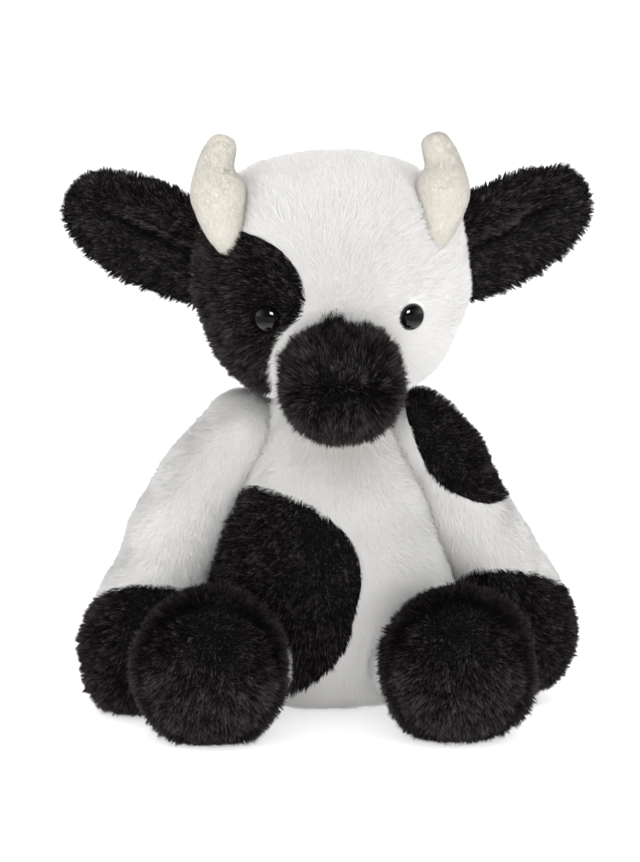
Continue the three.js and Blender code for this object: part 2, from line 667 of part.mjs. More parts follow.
// Eyes: where the dome sits, found on the head's form by the eye's place in the face
const eyeShare = (EYE_HEIGHT - HEAD_BOTTOM) / HEAD_HEIGHT;
const eyeRound = roundOff(2 * eyeShare - 1, HEAD_FULLNESS) * shareAt(HEAD_GIRTH_SHARES, eyeShare);
const eyeSine = EYE_SPACING / 2 / (HEAD_HALF_WIDTH * eyeRound);
const eyeOut = HEAD_HALF_DEPTH * eyeRound * Math.sqrt(1 - eyeSine ** 2);
const eyeFrames = [1, -1].map((side) => {
  const seat = new THREE.Vector3(side * EYE_SPACING / 2, -HEAD_FORWARD - eyeOut, EYE_HEIGHT);
  const normal = new THREE.Vector3(
    (side * EYE_SPACING / 2) / HEAD_HALF_WIDTH ** 2,
    -eyeOut / HEAD_HALF_DEPTH ** 2,
    (EYE_HEIGHT - HEAD_BOTTOM - HEAD_HEIGHT / 2) / (HEAD_HEIGHT / 2) ** 2,
  ).normalize();
  return new THREE.Matrix4().compose(seat,
    new THREE.Quaternion().setFromUnitVectors(new THREE.Vector3(0, 1, 0), normal),
    new THREE.Vector3(1, 1, 1));
});
const lathe = (profile) => new THREE.LatheGeometry(
  profile.map(([r, h]) => new THREE.Vector2(r, h)), ROUND_SIDES);
const ribPitch = SHANK_LENGTH / (SHANK_RIBS + 3);
const ribs = Array.from({ length: SHANK_RIBS }, (_, i) => {
  const foot = -EYE_SUNK - SHANK_LENGTH + (i + 1) * ribPitch;
  return [
    [SHANK_RADIUS, foot],
    [SHANK_RADIUS + SHANK_RIB_HEIGHT, foot + ribPitch / 3],
    [SHANK_RADIUS, foot + ribPitch * 2 / 3],
  ];
}).flat();
const eyeProfile = [
  [0, -EYE_SUNK - SHANK_LENGTH],
  [SHANK_RADIUS, -EYE_SUNK - SHANK_LENGTH],
  ...ribs,
  [SHANK_RADIUS, -EYE_SUNK],
  [EYE_RADIUS, -EYE_SUNK],
  ...DOME_SHARES.map((s) => [
    EYE_RADIUS * Math.cos(s * Math.PI / 2),
    -EYE_SUNK + SEAM_GAP + EYE_DOME * Math.sin(s * Math.PI / 2),
  ]),
  [0, -EYE_SUNK + SEAM_GAP + EYE_DOME],
];
const washerTop = -PILE_FABRIC;
const bore = SHANK_RADIUS + SHANK_RIB_HEIGHT + WASHER_GAP;
const washerProfile = [
  [bore, washerTop - WASHER_THICKNESS],
  [WASHER_RADIUS, washerTop - WASHER_THICKNESS],
  [WASHER_RADIUS, washerTop],
  [bore, washerTop],
  [bore, washerTop - WASHER_THICKNESS],
];
const eyeRoomProfile = [
  [0, -HEAD_HALF_DEPTH],
  [WASHER_RADIUS + SEAM_GAP, -HEAD_HALF_DEPTH],
  [WASHER_RADIUS + SEAM_GAP, washerTop + SEAM_GAP],
  [bore, washerTop + SEAM_GAP],
  [bore, -EYE_SUNK - SEAM_GAP],
  [EYE_RADIUS + SEAM_GAP, -EYE_SUNK - SEAM_GAP],
  [EYE_RADIUS + SEAM_GAP, HEAD_HALF_DEPTH],
  [0, HEAD_HALF_DEPTH],
];
const washerRoomProfile = [
  [0, -EYE_SUNK - SHANK_LENGTH - SEAM_GAP],
  [bore, -EYE_SUNK - SHANK_LENGTH - SEAM_GAP],
  [bore, washerTop - WASHER_THICKNESS - SEAM_GAP],
  [WASHER_RADIUS + SEAM_GAP, washerTop - WASHER_THICKNESS - SEAM_GAP],
  [WASHER_RADIUS + SEAM_GAP, HEAD_HALF_DEPTH],
  [0, HEAD_HALF_DEPTH],
];
const atEyes = (profile) => eyeFrames.map((frame) => toSolid(lathe(profile).applyMatrix4(frame)));

// Horns: bent forms that start inside the head
const crown = HEAD_BOTTOM + HEAD_HEIGHT;
const hornPlace = new THREE.Vector3(HORN_OFFSET, 0, crown);
const hornShape = (side) => ({
  line: [HORN_FOOT, HORN_LOWER, HORN_MIDDLE, HORN_UPPER, HORN_TIP]
    .map((point) => mirrored(point, side).add(hornPlace)),
  halfWidth: HORN_RADIUS,
  halfDepth: HORN_RADIUS,
  girth: HORN_GIRTH_SHARES,
  fullness: HORN_FULLNESS,
  across: acrossX,
  rings: HORN_RINGS,
  around: LIMB_AROUND,
});

const headShell = withoutAll(headOuter.subtract(headForm(-PILE_FABRIC)), atEyes(eyeRoomProfile));
const patchEdge = EYE_PATCH_SHARES.map(
  ([x, z]) => [x * HEAD_HALF_WIDTH, HEAD_BOTTOM + z * HEAD_HEIGHT]);
const patchRoom = outlineBlock(patchEdge).intersect(inFrontOf(EYE_PATCH_BACK + SEAM_GAP));
addPiece(headGroup, 'head_skin', headShell.subtract(patchRoom), WHITE_FUR);
addPiece(headGroup, 'eye_patch', headShell.intersect(
  outlineBlock(patchEdge, SEAM_GAP).intersect(inFrontOf(EYE_PATCH_BACK))), BLACK_FUR);
addPiece(headGroup, 'head_stuffing', withoutAll(
  headForm(-PILE_FABRIC - SEAM_GAP).intersect(overNeck), atEyes(washerRoomProfile)), FIBRE);

const [eyeLeft, eyeRight] = atEyes(eyeProfile);
const [washerLeft, washerRight] = atEyes(washerProfile);
addPiece(headGroup, 'eye_left', eyeLeft, EYE_PLASTIC);
addPiece(headGroup, 'eye_right', eyeRight, EYE_PLASTIC);
addPiece(headGroup, 'eye_left_washer', washerLeft, WASHER_PLASTIC);
addPiece(headGroup, 'eye_right_washer', washerRight, WASHER_PLASTIC);

// Muzzle: nose panel over chin panel, with the mouth pinched in between them
const muzzleShape = {
  line: [
    new THREE.Vector3(0, -MUZZLE_BACK, MUZZLE_HEIGHT),
    new THREE.Vector3(0, -(MUZZLE_BACK + MUZZLE_FRONT) / 2, MUZZLE_HEIGHT),
    new THREE.Vector3(0, -MUZZLE_FRONT, MUZZLE_HEIGHT),
  ],
  halfWidth: MUZZLE_HALF_WIDTH,
  halfDepth: MUZZLE_HALF_HEIGHT,
  girth: MUZZLE_GIRTH_SHARES,
  fullness: MUZZLE_FULLNESS,
  ringFullness: (u, v) => (v > 0 ? MUZZLE_TOP_FULLNESS : 2),
  across: acrossX,
  rings: SMALL_RINGS,
  around: FOOT_AROUND,
};
const mouth = toSolid(new THREE.SphereGeometry(MOUTH_HALF_WIDTH, ROUND_SIDES, ROUND_SIDES / 2)
  .scale(1, MOUTH_DEPTH / MOUTH_HALF_WIDTH, MOUTH_HALF_HEIGHT / MOUTH_HALF_WIDTH)
  .translate(0, -MUZZLE_FRONT, MUZZLE_HEIGHT));
const muzzleForm = (swell) => stuffedForm(muzzleShape, swell).subtract(headForm(SEAM_GAP));
const muzzleShell = muzzleForm(0).subtract(stuffedForm(muzzleShape, -PILE_FABRIC)).subtract(mouth);
addPiece(headGroup, 'muzzle_nose',
  muzzleShell.intersect(above(MUZZLE_HEIGHT + SEAM_GAP / 2)), BLACK_FUR);
addPiece(headGroup, 'muzzle_chin',
  muzzleShell.intersect(below(MUZZLE_HEIGHT - SEAM_GAP / 2)), BLACK_FUR);
addPiece(headGroup, 'muzzle_stuffing', muzzleForm(-PILE_FABRIC - SEAM_GAP), FIBRE);

for (const [name, side] of [['left', 1], ['right', -1]]) {
  const shape = hornShape(side);
  const horn = (swell) => stuffedForm(shape, swell).subtract(headForm(SEAM_GAP));
  addPiece(headGroup, `horn_${name}_skin`,
    horn(0).subtract(stuffedForm(shape, -VELOUR)), CREAM_VELOUR);
  addPiece(headGroup, `horn_${name}_stuffing`, horn(-VELOUR - SEAM_GAP), FIBRE);
}

// Ears: each panel is a cupped strip in every ring, thin at its edges
function earFrame(side) {
  const out = new THREE.Vector3(
    side * Math.cos(EAR_RISE) * Math.cos(EAR_SWEEP),
    Math.sin(EAR_SWEEP),
    Math.sin(EAR_RISE) * Math.cos(EAR_SWEEP));
  const front = frontAxis.clone().addScaledVector(out, -frontAxis.dot(out)).normalize();
  const wide = new THREE.Vector3().crossVectors(front, out).multiplyScalar(side).normalize();
  const root = mirrored([EAR_ROOT[0], EAR_ROOT[1], crown + EAR_ROOT[2]], side);
  return { root, out, front, wide };
}

function earPanel(frame, facing) {
  const samples = Array.from({ length: EAR_ACROSS + 1 }, (_, j) => (2 * j) / EAR_ACROSS - 1);
  const rings = Array.from({ length: EAR_RINGS + 1 }, (_, i) => {
    const place = Math.sin((Math.PI / 2) * (i / EAR_RINGS));
    const halfWidth = EAR_HALF_WIDTH * shareAt(EAR_WIDTH_SHARES, place);
    const strip = (lift) => samples.map((u) => {
      const depth = EAR_CUP * (u * halfWidth / EAR_HALF_WIDTH) ** 2 + lift(u);
      return frame.root.clone()
        .addScaledVector(frame.out, EAR_LENGTH * place)
        .addScaledVector(frame.wide, halfWidth * u - EAR_DROP)
        .addScaledVector(frame.front, depth);
    });
    const thick = (u) => PILE_FABRIC * (EAR_EDGE_SHARE + (1 - EAR_EDGE_SHARE) * Math.sqrt(1 - u * u));
    const inside = strip(() => facing * SEAM_GAP / 2);
    const outside = strip((u) => facing * (SEAM_GAP / 2 + thick(u)));
    return [...inside, ...outside.reverse()];
  });
  return skinOver(rings, { stripEnds: true });
}

for (const [name, side] of [['left', 1], ['right', -1]]) {
  const frame = earFrame(side);
  const head = headForm(SEAM_GAP);
  const sweep = EAR_SWING_SHARES.map((s) => turned(head, frame.root, frame.wide, s * EAR_SWING));
  addPiece(headGroup, `ear_${name}_front`, withoutAll(earPanel(frame, 1), sweep), BLACK_FUR);
  addPiece(headGroup, `ear_${name}_back`, withoutAll(earPanel(frame, -1), sweep), BLACK_FUR);
}

// Origin on the table, under the middle of the whole cow
const cowBox = new THREE.Box3().setFromObject(group, true);
group.position.set(-(cowBox.min.x + cowBox.max.x) / 2, -(cowBox.min.y + cowBox.max.y) / 2, 0);

export default group;
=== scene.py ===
"""Looks of the sitting plush cow: stuffed forms, their pile, horns, eyes, floor, light and camera.

Lengths are millimetres here and metres in every mesh. Forms are written in the cow's own frame,
whose Z axis is the neck's hinge, and ORIGIN moves them into the part's frame. The face looks
along -Y. Left and right are the cow's own, and its left is at +X.
"""
import json
import math

import bpy
import numpy as np
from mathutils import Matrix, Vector
from mathutils.bvhtree import BVHTree


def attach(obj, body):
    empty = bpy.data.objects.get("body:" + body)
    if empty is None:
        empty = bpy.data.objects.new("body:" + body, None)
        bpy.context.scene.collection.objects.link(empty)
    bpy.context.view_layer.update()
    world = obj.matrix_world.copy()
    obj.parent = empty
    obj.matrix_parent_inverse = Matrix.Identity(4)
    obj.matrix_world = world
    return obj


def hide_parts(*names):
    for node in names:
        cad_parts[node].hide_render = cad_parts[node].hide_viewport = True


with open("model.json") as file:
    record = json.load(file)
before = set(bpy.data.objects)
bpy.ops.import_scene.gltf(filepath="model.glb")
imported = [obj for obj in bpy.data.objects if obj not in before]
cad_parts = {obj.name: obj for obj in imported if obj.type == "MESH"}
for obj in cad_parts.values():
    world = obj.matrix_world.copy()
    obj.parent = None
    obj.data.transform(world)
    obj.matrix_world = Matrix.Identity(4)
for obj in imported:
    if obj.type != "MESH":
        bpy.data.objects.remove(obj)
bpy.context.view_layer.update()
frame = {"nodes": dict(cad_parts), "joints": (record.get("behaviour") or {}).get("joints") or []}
MM = 0.001
rng = np.random.default_rng(20)

HEAD_TURN = math.radians(4.5)
SIDES = {"left": 1, "right": -1}
DOWN = np.array([0, 0, -1.0])


def joint_place(name):
    joint = next(row for row in frame["joints"] if row["name"] == name)
    return np.array(joint["pos_m"]) / MM


ORIGIN = joint_place("neck") * [1, 1, 0]
NECK_HEIGHT = joint_place("neck")[2]
SHOULDER = joint_place("shoulder_left") - ORIGIN
HIP = joint_place("hip_left") - ORIGIN
TAIL_ROOT = joint_place("tail_root") - ORIGIN

# How deep each pelt lies under the part's surface, where the pile rises from it
PELT_DEPTH = 2.4
VELOUR_DEPTH = 0.8
SEAM_GAP = 0.6
FLOOR_CLEARANCE = 0.25

# Body
BODY_HEIGHT = 172
BODY_HALF_WIDTH = 66
BODY_HALF_DEPTH = 57
BODY_LEAN = 4
BODY_FULLNESS = 2.9
BODY_GIRTH = [(0, 1.06), (0.12, 1.04), (0.33, 1), (0.5, 0.91), (0.7, 0.73), (0.86, 0.62), (1, 0.6)]
BELLY_PATCH = [
    (-1.15, 0.5), (-0.9, 0.56), (-0.74, 0.63), (-0.58, 0.672), (-0.4, 0.67), (-0.15, 0.637),
    (0.06, 0.577), (0.2, 0.497), (0.225, 0.41), (0.16, 0.31), (0.13, 0.25), (0, 0.17),
    (-0.28, 0.085), (-0.7, 0.06), (-1.15, 0.1)]
BELLY_PATCH_BACK = -4
# Painted shadow on the chest under the muzzle: its middle in x and z, and its size
CHIN_SHADOW = (4, 138)
CHIN_SHADOW_SIZE = (24, 15)

# Arms: centre lines from the shoulder to the hoof, and the slanting seam above the hoof
SHOULDER_RADIUS = 21
HOOF_RADIUS = 27.5
ARM_FULLNESS = 2.7
ARM_START = 0.12
ARM_GIRTH = [(0, 0.74), (0.2, 0.8), (0.42, 0.82), (0.56, 0.85), (0.66, 0.94), (0.78, 1), (1, 1.02)]
ARM_LINES = {
    "right": [(57, -5, 123), (71, -10, 104), (86, -18, 68), (98.5, -25, 29), (98.5, -25, -0.5)],
    "left": [(57, -4, 123), (65, -4, 104), (82, -2, 71), (96, 2, 36), (96, 2, 5.5)]}
HOOF_LIFT = {"right": 0, "left": 5.5}
HOOF_SEAM_HEIGHT = 54
HOOF_SEAM_TILT = math.radians(35)
SHOULDER_PATCH = [
    (0.55, 1.04), (0.75, 1.09), (1.02, 1), (1.24, 0.82), (1.5, 0.69), (1.3, 0.655),
    (1.06, 0.667), (0.78, 0.74), (0.645, 0.84), (0.555, 0.96)]
SHOULDER_PATCH_BACK = -1

# Feet and legs
HIP_RADIUS = 22
LEG_RADIUS = 20.5
FOOT_LENGTH = 67
FOOT_HALF_HEIGHT = 38.2
FOOT_HALF_WIDTH = 37
FOOT_AXIS_HEIGHT = 37
FOOT_SPLAY = 2.5
FOOT_FULLNESS = 2.35
FOOT_LOWER_FULLNESS = 2.4
ANKLE = 26
FOOT_GIRTH = [(0, 0.94), (0.5, 1), (0.75, 1.01), (1, 0.98)]
FOOT_PLACES = {"right": (59.5, 50), "left": (62.5, 46)}
SOLE_SEAM = 0.86

# Head
HEAD_BOTTOM = 156
HEAD_HEIGHT = 125
HEAD_HALF_WIDTH = 68.5
HEAD_HALF_DEPTH = 56
HEAD_FORWARD = 8
HEAD_FULLNESS = 2.25
HEAD_GIRTH = [(0, 1.06), (0.15, 1), (0.3, 0.97), (0.45, 0.995), (0.65, 0.985), (0.85, 1.04), (1, 1.09)]
EYE_PATCH = [
    (-1.25, 0.8), (-0.95, 0.78), (-0.72, 0.735), (-0.54, 0.705), (-0.39, 0.655), (-0.285, 0.575),
    (-0.25, 0.49), (-0.28, 0.41), (-0.38, 0.35), (-0.45, 0.27), (-0.47, 0.18), (-0.45, 0.09),
    (-0.8, 0.075), (-1.25, 0.3)]
EYE_PATCH_BACK = -2
FACE_PARTING = (0, -70, 186)
HEAD_BACK = 30

# Muzzle
MUZZLE_BACK = 30
MUZZLE_FRONT = 95
MUZZLE_HEIGHT = 174.5
MUZZLE_HALF_WIDTH = 28.5
MUZZLE_HALF_HEIGHT = 27.4
MUZZLE_FULLNESS = 2.5
MUZZLE_TOP_FULLNESS = 2.6
MUZZLE_GIRTH = [(0, 0.9), (0.5, 1), (0.8, 1.02), (1, 1)]
MOUTH_DEPTH = 2.6
MOUTH_HALF_WIDTH = 22
MUZZLE_PARTING = 11

# Eyes: domes on ribbed shanks that go through the fabric
EYE_SPACING = 72.5
EYE_HEIGHT = 205.5
EYE_RADIUS = 7
EYE_DOME = 4.9
EYE_SUNK = 1.9
EYE_RIM = 0.3
BARE_ROUND_EYES = 0.6
SHORT_ROUND_EYES = 11
SHANK_RADIUS = 2.4
SHANK_LENGTH = 11
SHANK_RIBS = 3
SHANK_RIB_HEIGHT = 0.25

# Horns: centre lines from the crown of the head
HORN_RADIUS = 14.2
HORN_LINE = [(50.7, -36, -46.5), (52, -36, -36), (54.9, -34, -20), (56.6, -28, -4), (50.8, -23, 12.2)]
HORN_OFFSET = -3
HORN_FULLNESS = 3
HORN_GIRTH = [(0, 0.5), (0.07, 0.6), (0.14, 0.72), (0.25, 0.82), (0.38, 0.92), (0.5, 1),
              (0.6, 0.92), (0.68, 0.79), (0.76, 0.71), (0.86, 0.7), (1, 0.78)]

# Ears
EAR_ROOT = (60.5, 10, 229)
EAR_LENGTH = 76
EAR_HALF_WIDTH = 25.6
EAR_CUP = 7.5
EAR_DROP = 4.2
EAR_HALF_THICKNESS = 2.9
EAR_RISE = math.radians(26.5)
EAR_SWEEP = math.radians(6)
EAR_OVERLAP = 6
EAR_ROWS = 44
EAR_COLUMNS = 32
EAR_WIDTHS = [(0, 0.9), (0.25, 1), (0.45, 1.02), (0.6, 0.96), (0.78, 0.82), (0.9, 0.63),
              (0.96, 0.47), (1, 0.2)]

# Tail
TAIL_RADIUS = 6.5
TAIL_LINE = [(0, 69, 27), (0, 82, 11)]
TUFT_TIP = (0, 106, 9)
TUFT_RADIUS = 10.5


# Numbers and curves

def unit(v):
    return v / np.maximum(np.linalg.norm(v, axis=-1, keepdims=True), 1e-9)


def mirrored(point, side):
    return np.array([side * point[0], point[1], point[2]], float)


def hermite(t, a, slope_a, b, slope_b, run=1):
    """Cubic from a to b over a run with the given slopes, at shares t of it."""
    return ((2 * t**3 - 3 * t**2 + 1) * a + (t**3 - 2 * t**2 + t) * run * slope_a
            + (3 * t**2 - 2 * t**3) * b + (t**3 - t**2) * run * slope_b)


def curve_through(points, closed=False, steps=60):
    """Dense points of a centripetal Catmull-Rom curve."""
    p = np.array(points, float)
    ends = (p[-1:], p[:2]) if closed else (2 * p[:1] - p[1:2], 2 * p[-1:] - p[-2:-1])
    q = np.concatenate([ends[0], p, ends[1]])
    out = []
    for a, b, c, d in zip(q[:-3], q[1:-2], q[2:-1], q[3:]):
        da, db, dc = (max(np.linalg.norm(y - x), 1e-6) ** 0.5 for x, y in ((a, b), (b, c), (c, d)))
        m1 = ((b - a) / da - (c - a) / (da + db) + (c - b) / db) * db
        m2 = ((c - b) / db - (d - b) / (db + dc) + (d - c) / dc) * db
        t = np.linspace(0, 1, steps, endpoint=False)[:, None]
        out.append(hermite(t, b, m1, c, m2))
    if not closed:
        out.append(p[-1:])
    return np.concatenate(out)


def along(dense, shares):
    """Points and tangents at shares of a curve's length."""
    step = np.linalg.norm(np.diff(dense, axis=0), axis=1)
    length = np.concatenate([[0], np.cumsum(step)])
    at = np.asarray(shares) * length[-1]
    point, ahead, behind = (
        np.stack([np.interp(at + shift, length, dense[:, k]) for k in range(3)], 1)
        for shift in (0, 0.5, -0.5))
    return point, unit(ahead - behind)


def share_at(table, place):
    """Smooth value of a table of (place, share) rows."""
    x, y = np.array(table, float).T
    slope = np.gradient(y, x)
    place = np.clip(place, x[0], x[-1])
    i = np.clip(np.searchsorted(x, place) - 1, 0, len(x) - 2)
    h = x[i + 1] - x[i]
    return hermite((place - x[i]) / h, y[i], slope[i], y[i + 1], slope[i + 1], h)


def bell(distance, width):
    """1 at no distance, falling softly to 0."""
    return np.exp(-(distance / width) ** 2)


class Waves:
    """A smooth field of numbers about -1 to 1, as a sum of plane waves."""

    def __init__(self, wavelength, count=9):
        self.k = unit(rng.normal(size=(count, 3))) * (2 * math.pi / wavelength)
        self.k *= rng.uniform(0.6, 1.5, (count, 1))
        self.phase = rng.uniform(0, 2 * math.pi, count)

    def __call__(self, p):
        return np.sin(p @ self.k.T + self.phase).sum(1) / math.sqrt(len(self.phase))


turn_cos, turn_sin = math.cos(HEAD_TURN), math.sin(HEAD_TURN)
HEAD_MATRIX = np.array([[turn_cos, -turn_sin, 0], [turn_sin, turn_cos, 0], [0, 0, 1]])


def in_head(points):
    """From the head's own frame to the cow's."""
    return np.asarray(points, float) @ HEAD_MATRIX.T


def from_head(points):
    """From the cow's frame to the head's own."""
    return np.asarray(points, float) @ HEAD_MATRIX


# Forms: each is (points, faces) in the cow's frame

def skin_over(rings, start, end):
    """Closed skin over rings of points with a pole at either end."""
    n, around = len(rings), len(rings[0])
    points = np.concatenate([np.concatenate(rings), [start, end]])
    i, j = np.meshgrid(np.arange(n - 1), np.arange(around), indexing="ij")
    a = (i * around + j).ravel()
    b = (i * around + (j + 1) % around).ravel()
    faces = np.stack([a, b, b + around, a + around], 1).tolist()
    top = (n - 1) * around
    for j in range(around):
        k = (j + 1) % around
        faces.append([n * around, k, j])
        faces.append([n * around + 1, top + j, top + k])
    return points, faces


def ring_frames(tangent, across):
    """Two unit vectors square to each tangent, the first as near to across as can be."""
    side = unit(across - tangent * (tangent * across).sum(1, keepdims=True))
    return side, np.cross(tangent, side)


def ring_shares(around, squarer=None):
    """Round, or squarer where its fullness is over 2."""
    angle = 2 * math.pi * np.arange(around) / around
    u, v = np.cos(angle), np.sin(angle)
    fullness = squarer(u, v) if squarer else 2.0
    out = (np.abs(u) ** fullness + np.abs(v) ** fullness) ** (-1 / fullness)
    return u * out, v * out


def stuffed(line, half_width, half_depth, girth, fullness, across=(1, 0, 0), swell=-PELT_DEPTH,
            rings=56, around=88, squarer=None):
    """A stuffed form between two poles."""
    line = np.array(line, float)
    line[0] += unit(line[0] - line[1]) * swell
    line[-1] += unit(line[-1] - line[-2]) * swell
    dense = curve_through(line)
    t = (1 - np.cos(math.pi * np.arange(1, rings) / rings)) / 2
    centre, tangent = along(dense, t)
    side, other = ring_frames(tangent, np.array(across, float))
    round_off = (1 - np.abs(2 * t - 1) ** fullness) ** (1 / fullness)
    share = share_at(girth, t)
    u, v = ring_shares(around, squarer)
    wide = round_off * (half_width * share + swell)
    deep = round_off * (half_depth * share + swell)
    points = [c + np.outer(u, s) * w + np.outer(v, o) * d
              for c, s, o, w, d in zip(centre, side, other, wide, deep)]
    return skin_over(points, dense[0], dense[-1])


def limb(line, radius, ball, girth, fullness, first_share, tip_share=0.32, across=(1, 0, 0),
         swell=-PELT_DEPTH, rings=44, around=64, ball_end=30):
    """A limb that starts as a ball about its joint and ends in a rounded tip."""
    line = np.array(line, float)
    line[-1] += unit(line[-1] - line[-2]) * swell
    dense = curve_through(line)
    start, across = along(dense, [0.0])[1][0], np.array(across, float)
    ball = ball + swell
    angle = 2 * math.pi * np.arange(around) / around
    points = []
    for turn in np.radians(np.arange(-80, ball_end + 1, 10)):
        side, other = ring_frames(start[None], across)
        ring = np.outer(np.cos(angle), side[0]) + np.outer(np.sin(angle), other[0])
        points.append(line[0] + start * ball * math.sin(turn) + ring * ball * math.cos(turn))
    step = np.sin(math.pi / 2 * np.arange(rings - 1) / (rings - 1))
    t = first_share + (1 - first_share) * step
    centre, tangent = along(dense, t)
    side, other = ring_frames(tangent, across)
    over = np.clip(1 + (t - 1) / tip_share, 0, 1)
    half = (1 - over ** fullness) ** (1 / fullness) * (radius * share_at(girth, t) + swell)
    points += [c + h * (np.outer(np.cos(angle), s) + np.outer(np.sin(angle), o))
               for c, s, o, h in zip(centre, side, other, half)]
    return skin_over(points, line[0] - start * ball, dense[-1])


def lathe(profile, place, axis, around=64):
    """A turned form: rows of (radius, height) about an axis, the first and last on the axis."""
    side, other = ring_frames(axis[None], np.array([0, 0, 1.0]))
    angle = 2 * math.pi * np.arange(around) / around
    circle = np.outer(np.cos(angle), side[0]) + np.outer(np.sin(angle), other[0])
    rings = [place + axis * height + circle * radius for radius, height in profile[1:-1]]
    return skin_over(rings, place + axis * profile[0][1], place + axis * profile[-1][1])


def normals_of(points, faces):
    """Outward unit normals at the points."""
    mesh = bpy.data.meshes.new("scratch")
    mesh.from_pydata(points.tolist(), [], faces)
    n = np.zeros(len(points) * 3, np.float32)
    mesh.vertex_normals.foreach_get("vector", n)
    bpy.data.meshes.remove(mesh)
    n = n.reshape(-1, 3).astype(float)
    return n if ((points - points.mean(0)) * n).sum() > 0 else -n


def triangles(faces):
    return np.array([[f[0], f[k], f[k + 1]] for f in faces for k in range(1, len(f) - 1)])


def outward(points, faces):
    """Faces wound so that they look outwards."""
    a, b, c = points[triangles(faces)].transpose(1, 0, 2)
    volume = (a * np.cross(b, c)).sum()
    return faces if volume > 0 else [f[::-1] for f in faces]


def lumpy(form, amount, wavelength=34):
    """The slight unevenness of hand stuffing."""
    points, faces = form
    return points + normals_of(points, faces) * (amount * Waves(wavelength)(points))[:, None], faces


def nearest_on(form, points, margin=0, chosen=True, reach=1e6):
    """For each chosen point near a form: its index, and the form's nearest place within reach."""
    tree = BVHTree.FromPolygons([Vector(v) for v in form[0]], form[1])
    low, high = form[0].min(0) - margin, form[0].max(0) + margin
    for i in np.nonzero(((points > low) & (points < high)).all(1) & chosen)[0]:
        place, normal, _, distance = tree.find_nearest(Vector(points[i]), reach)
        if place is not None:
            yield i, place, normal, distance


def pressed_from(form, other, gap, free):
    """A form moved out of another one, apart from its points that are free to lie there."""
    points = form[0].copy()
    for i, place, normal, distance in nearest_on(other, form[0], gap, ~free):
        if (Vector(points[i]) - place).dot(normal) < 0 or distance < gap:
            points[i] = np.array(place + normal * gap)
    return points, form[1]


def open_points(form, *others, depth=1.5):
    """Which points of a form lie no deeper than depth in any other one."""
    keep = np.ones(len(form[0]), bool)
    for other in others:
        for i, place, normal, distance in nearest_on(other, form[0], 0, keep):
            keep[i] = (Vector(form[0][i]) - place).dot(normal) > 0 or distance < depth
    return keep


def nearness(places, form, reach):
    """1 where a place touches a form, falling to 0 at reach."""
    out = np.zeros(len(places))
    for i, _, _, distance in nearest_on(form, places, reach, reach=reach):
        out[i] = 1 - distance / reach
    return out


def inside_outline(x, z, outline):
    """Which places lie inside a closed curve through the outline's points."""
    curve = curve_through([(a, b, 0) for a, b in outline], closed=True, steps=12)[:, :2]
    inside = np.zeros(len(x), bool)
    for (x0, z0), (x1, z1) in zip(curve, np.roll(curve, -1, 0)):
        if z0 != z1:
            crossed = (z0 > z) != (z1 > z)
            inside ^= crossed & (x < x0 + (z - z0) / (z1 - z0) * (x1 - x0))
    return inside


def in_belly_patch(points):
    x, z = points[:, 0] / BODY_HALF_WIDTH, points[:, 2] / BODY_HEIGHT
    return inside_outline(x, z, BELLY_PATCH) & (points[:, 1] < BELLY_PATCH_BACK)


def in_shoulder_patch(points):
    x, z = points[:, 0] / BODY_HALF_WIDTH, points[:, 2] / NECK_HEIGHT
    return inside_outline(x, z, SHOULDER_PATCH) & (points[:, 1] < SHOULDER_PATCH_BACK)


def in_eye_patch(points):
    local = from_head(points)
    x, z = local[:, 0] / HEAD_HALF_WIDTH, (local[:, 2] - HEAD_BOTTOM) / HEAD_HEIGHT
    return inside_outline(x, z, EYE_PATCH) & (local[:, 1] < EYE_PATCH_BACK)


def make_room(form, centre, radius):
    """Sink the skin round a joint, so that the limb's ball sits in it."""
    points, faces = form
    n = normals_of(points, faces)
    off = points - centre
    b = -(off * n).sum(1)
    c = (off ** 2).sum(1) - radius ** 2
    t = -b + np.sqrt(np.maximum(b * b - c, 0))
    return np.where((c < 0)[:, None], points - n * t[:, None], points), faces


def cut_out(form, chosen):
    """The part of a skin for which chosen(points) holds, cut cleanly along its edge."""
    points, faces = form
    inside = chosen(points)
    edges = {}
    for face in faces:
        for a, b in zip(face, face[1:] + face[:1]):
            if inside[a] != inside[b]:
                edges.setdefault((min(a, b), max(a, b)), len(points) + len(edges))
    pairs = np.array([(a, b) if inside[a] else (b, a) for a, b in edges])
    near, far = points[pairs[:, 0]], points[pairs[:, 1]]
    for _ in range(8):
        middle = (near + far) / 2
        holds = chosen(middle)[:, None]
        near, far = np.where(holds, middle, near), np.where(holds, far, middle)
    kept = []
    for face in faces:
        ring = []
        for a, b in zip(face, face[1:] + face[:1]):
            if inside[a]:
                ring.append(a)
            if inside[a] != inside[b]:
                ring.append(edges[(min(a, b), max(a, b))])
        if len(ring) > 2:
            kept.append(ring)
    return np.concatenate([points, near]), kept


# Materials

def node_maker(tree):
    """A function that adds a node and sets its sockets, or else its options, by name."""
    def node(kind, **settings):
        made = tree.nodes.new(kind)
        for key, value in settings.items():
            socket = key.replace("_", " ")
            if socket in made.inputs.keys():
                made.inputs[socket].default_value = value
            else:
                setattr(made, key, value)
        return made
    return node


def material(name, build):
    """A material whose nodes build(shader, node, link) makes."""
    made = bpy.data.materials.new(name)
    made.use_nodes = True
    tree = made.node_tree
    build(tree.nodes["Principled BSDF"], node_maker(tree), tree.links.new)
    return made


def settle(shader, **values):
    """Numbers on the shader's own sockets, spelt with underscores for spaces."""
    for name, value in values.items():
        shader.inputs[name.replace("_", " ")].default_value = value


def ramp(node, stops):
    made = node("ShaderNodeValToRGB")
    elements = made.color_ramp.elements
    while len(elements) < len(stops):
        elements.new(0.5)
    for element, (at, colour) in zip(elements, stops):
        element.position, element.color = at, (*colour, 1)
    return made


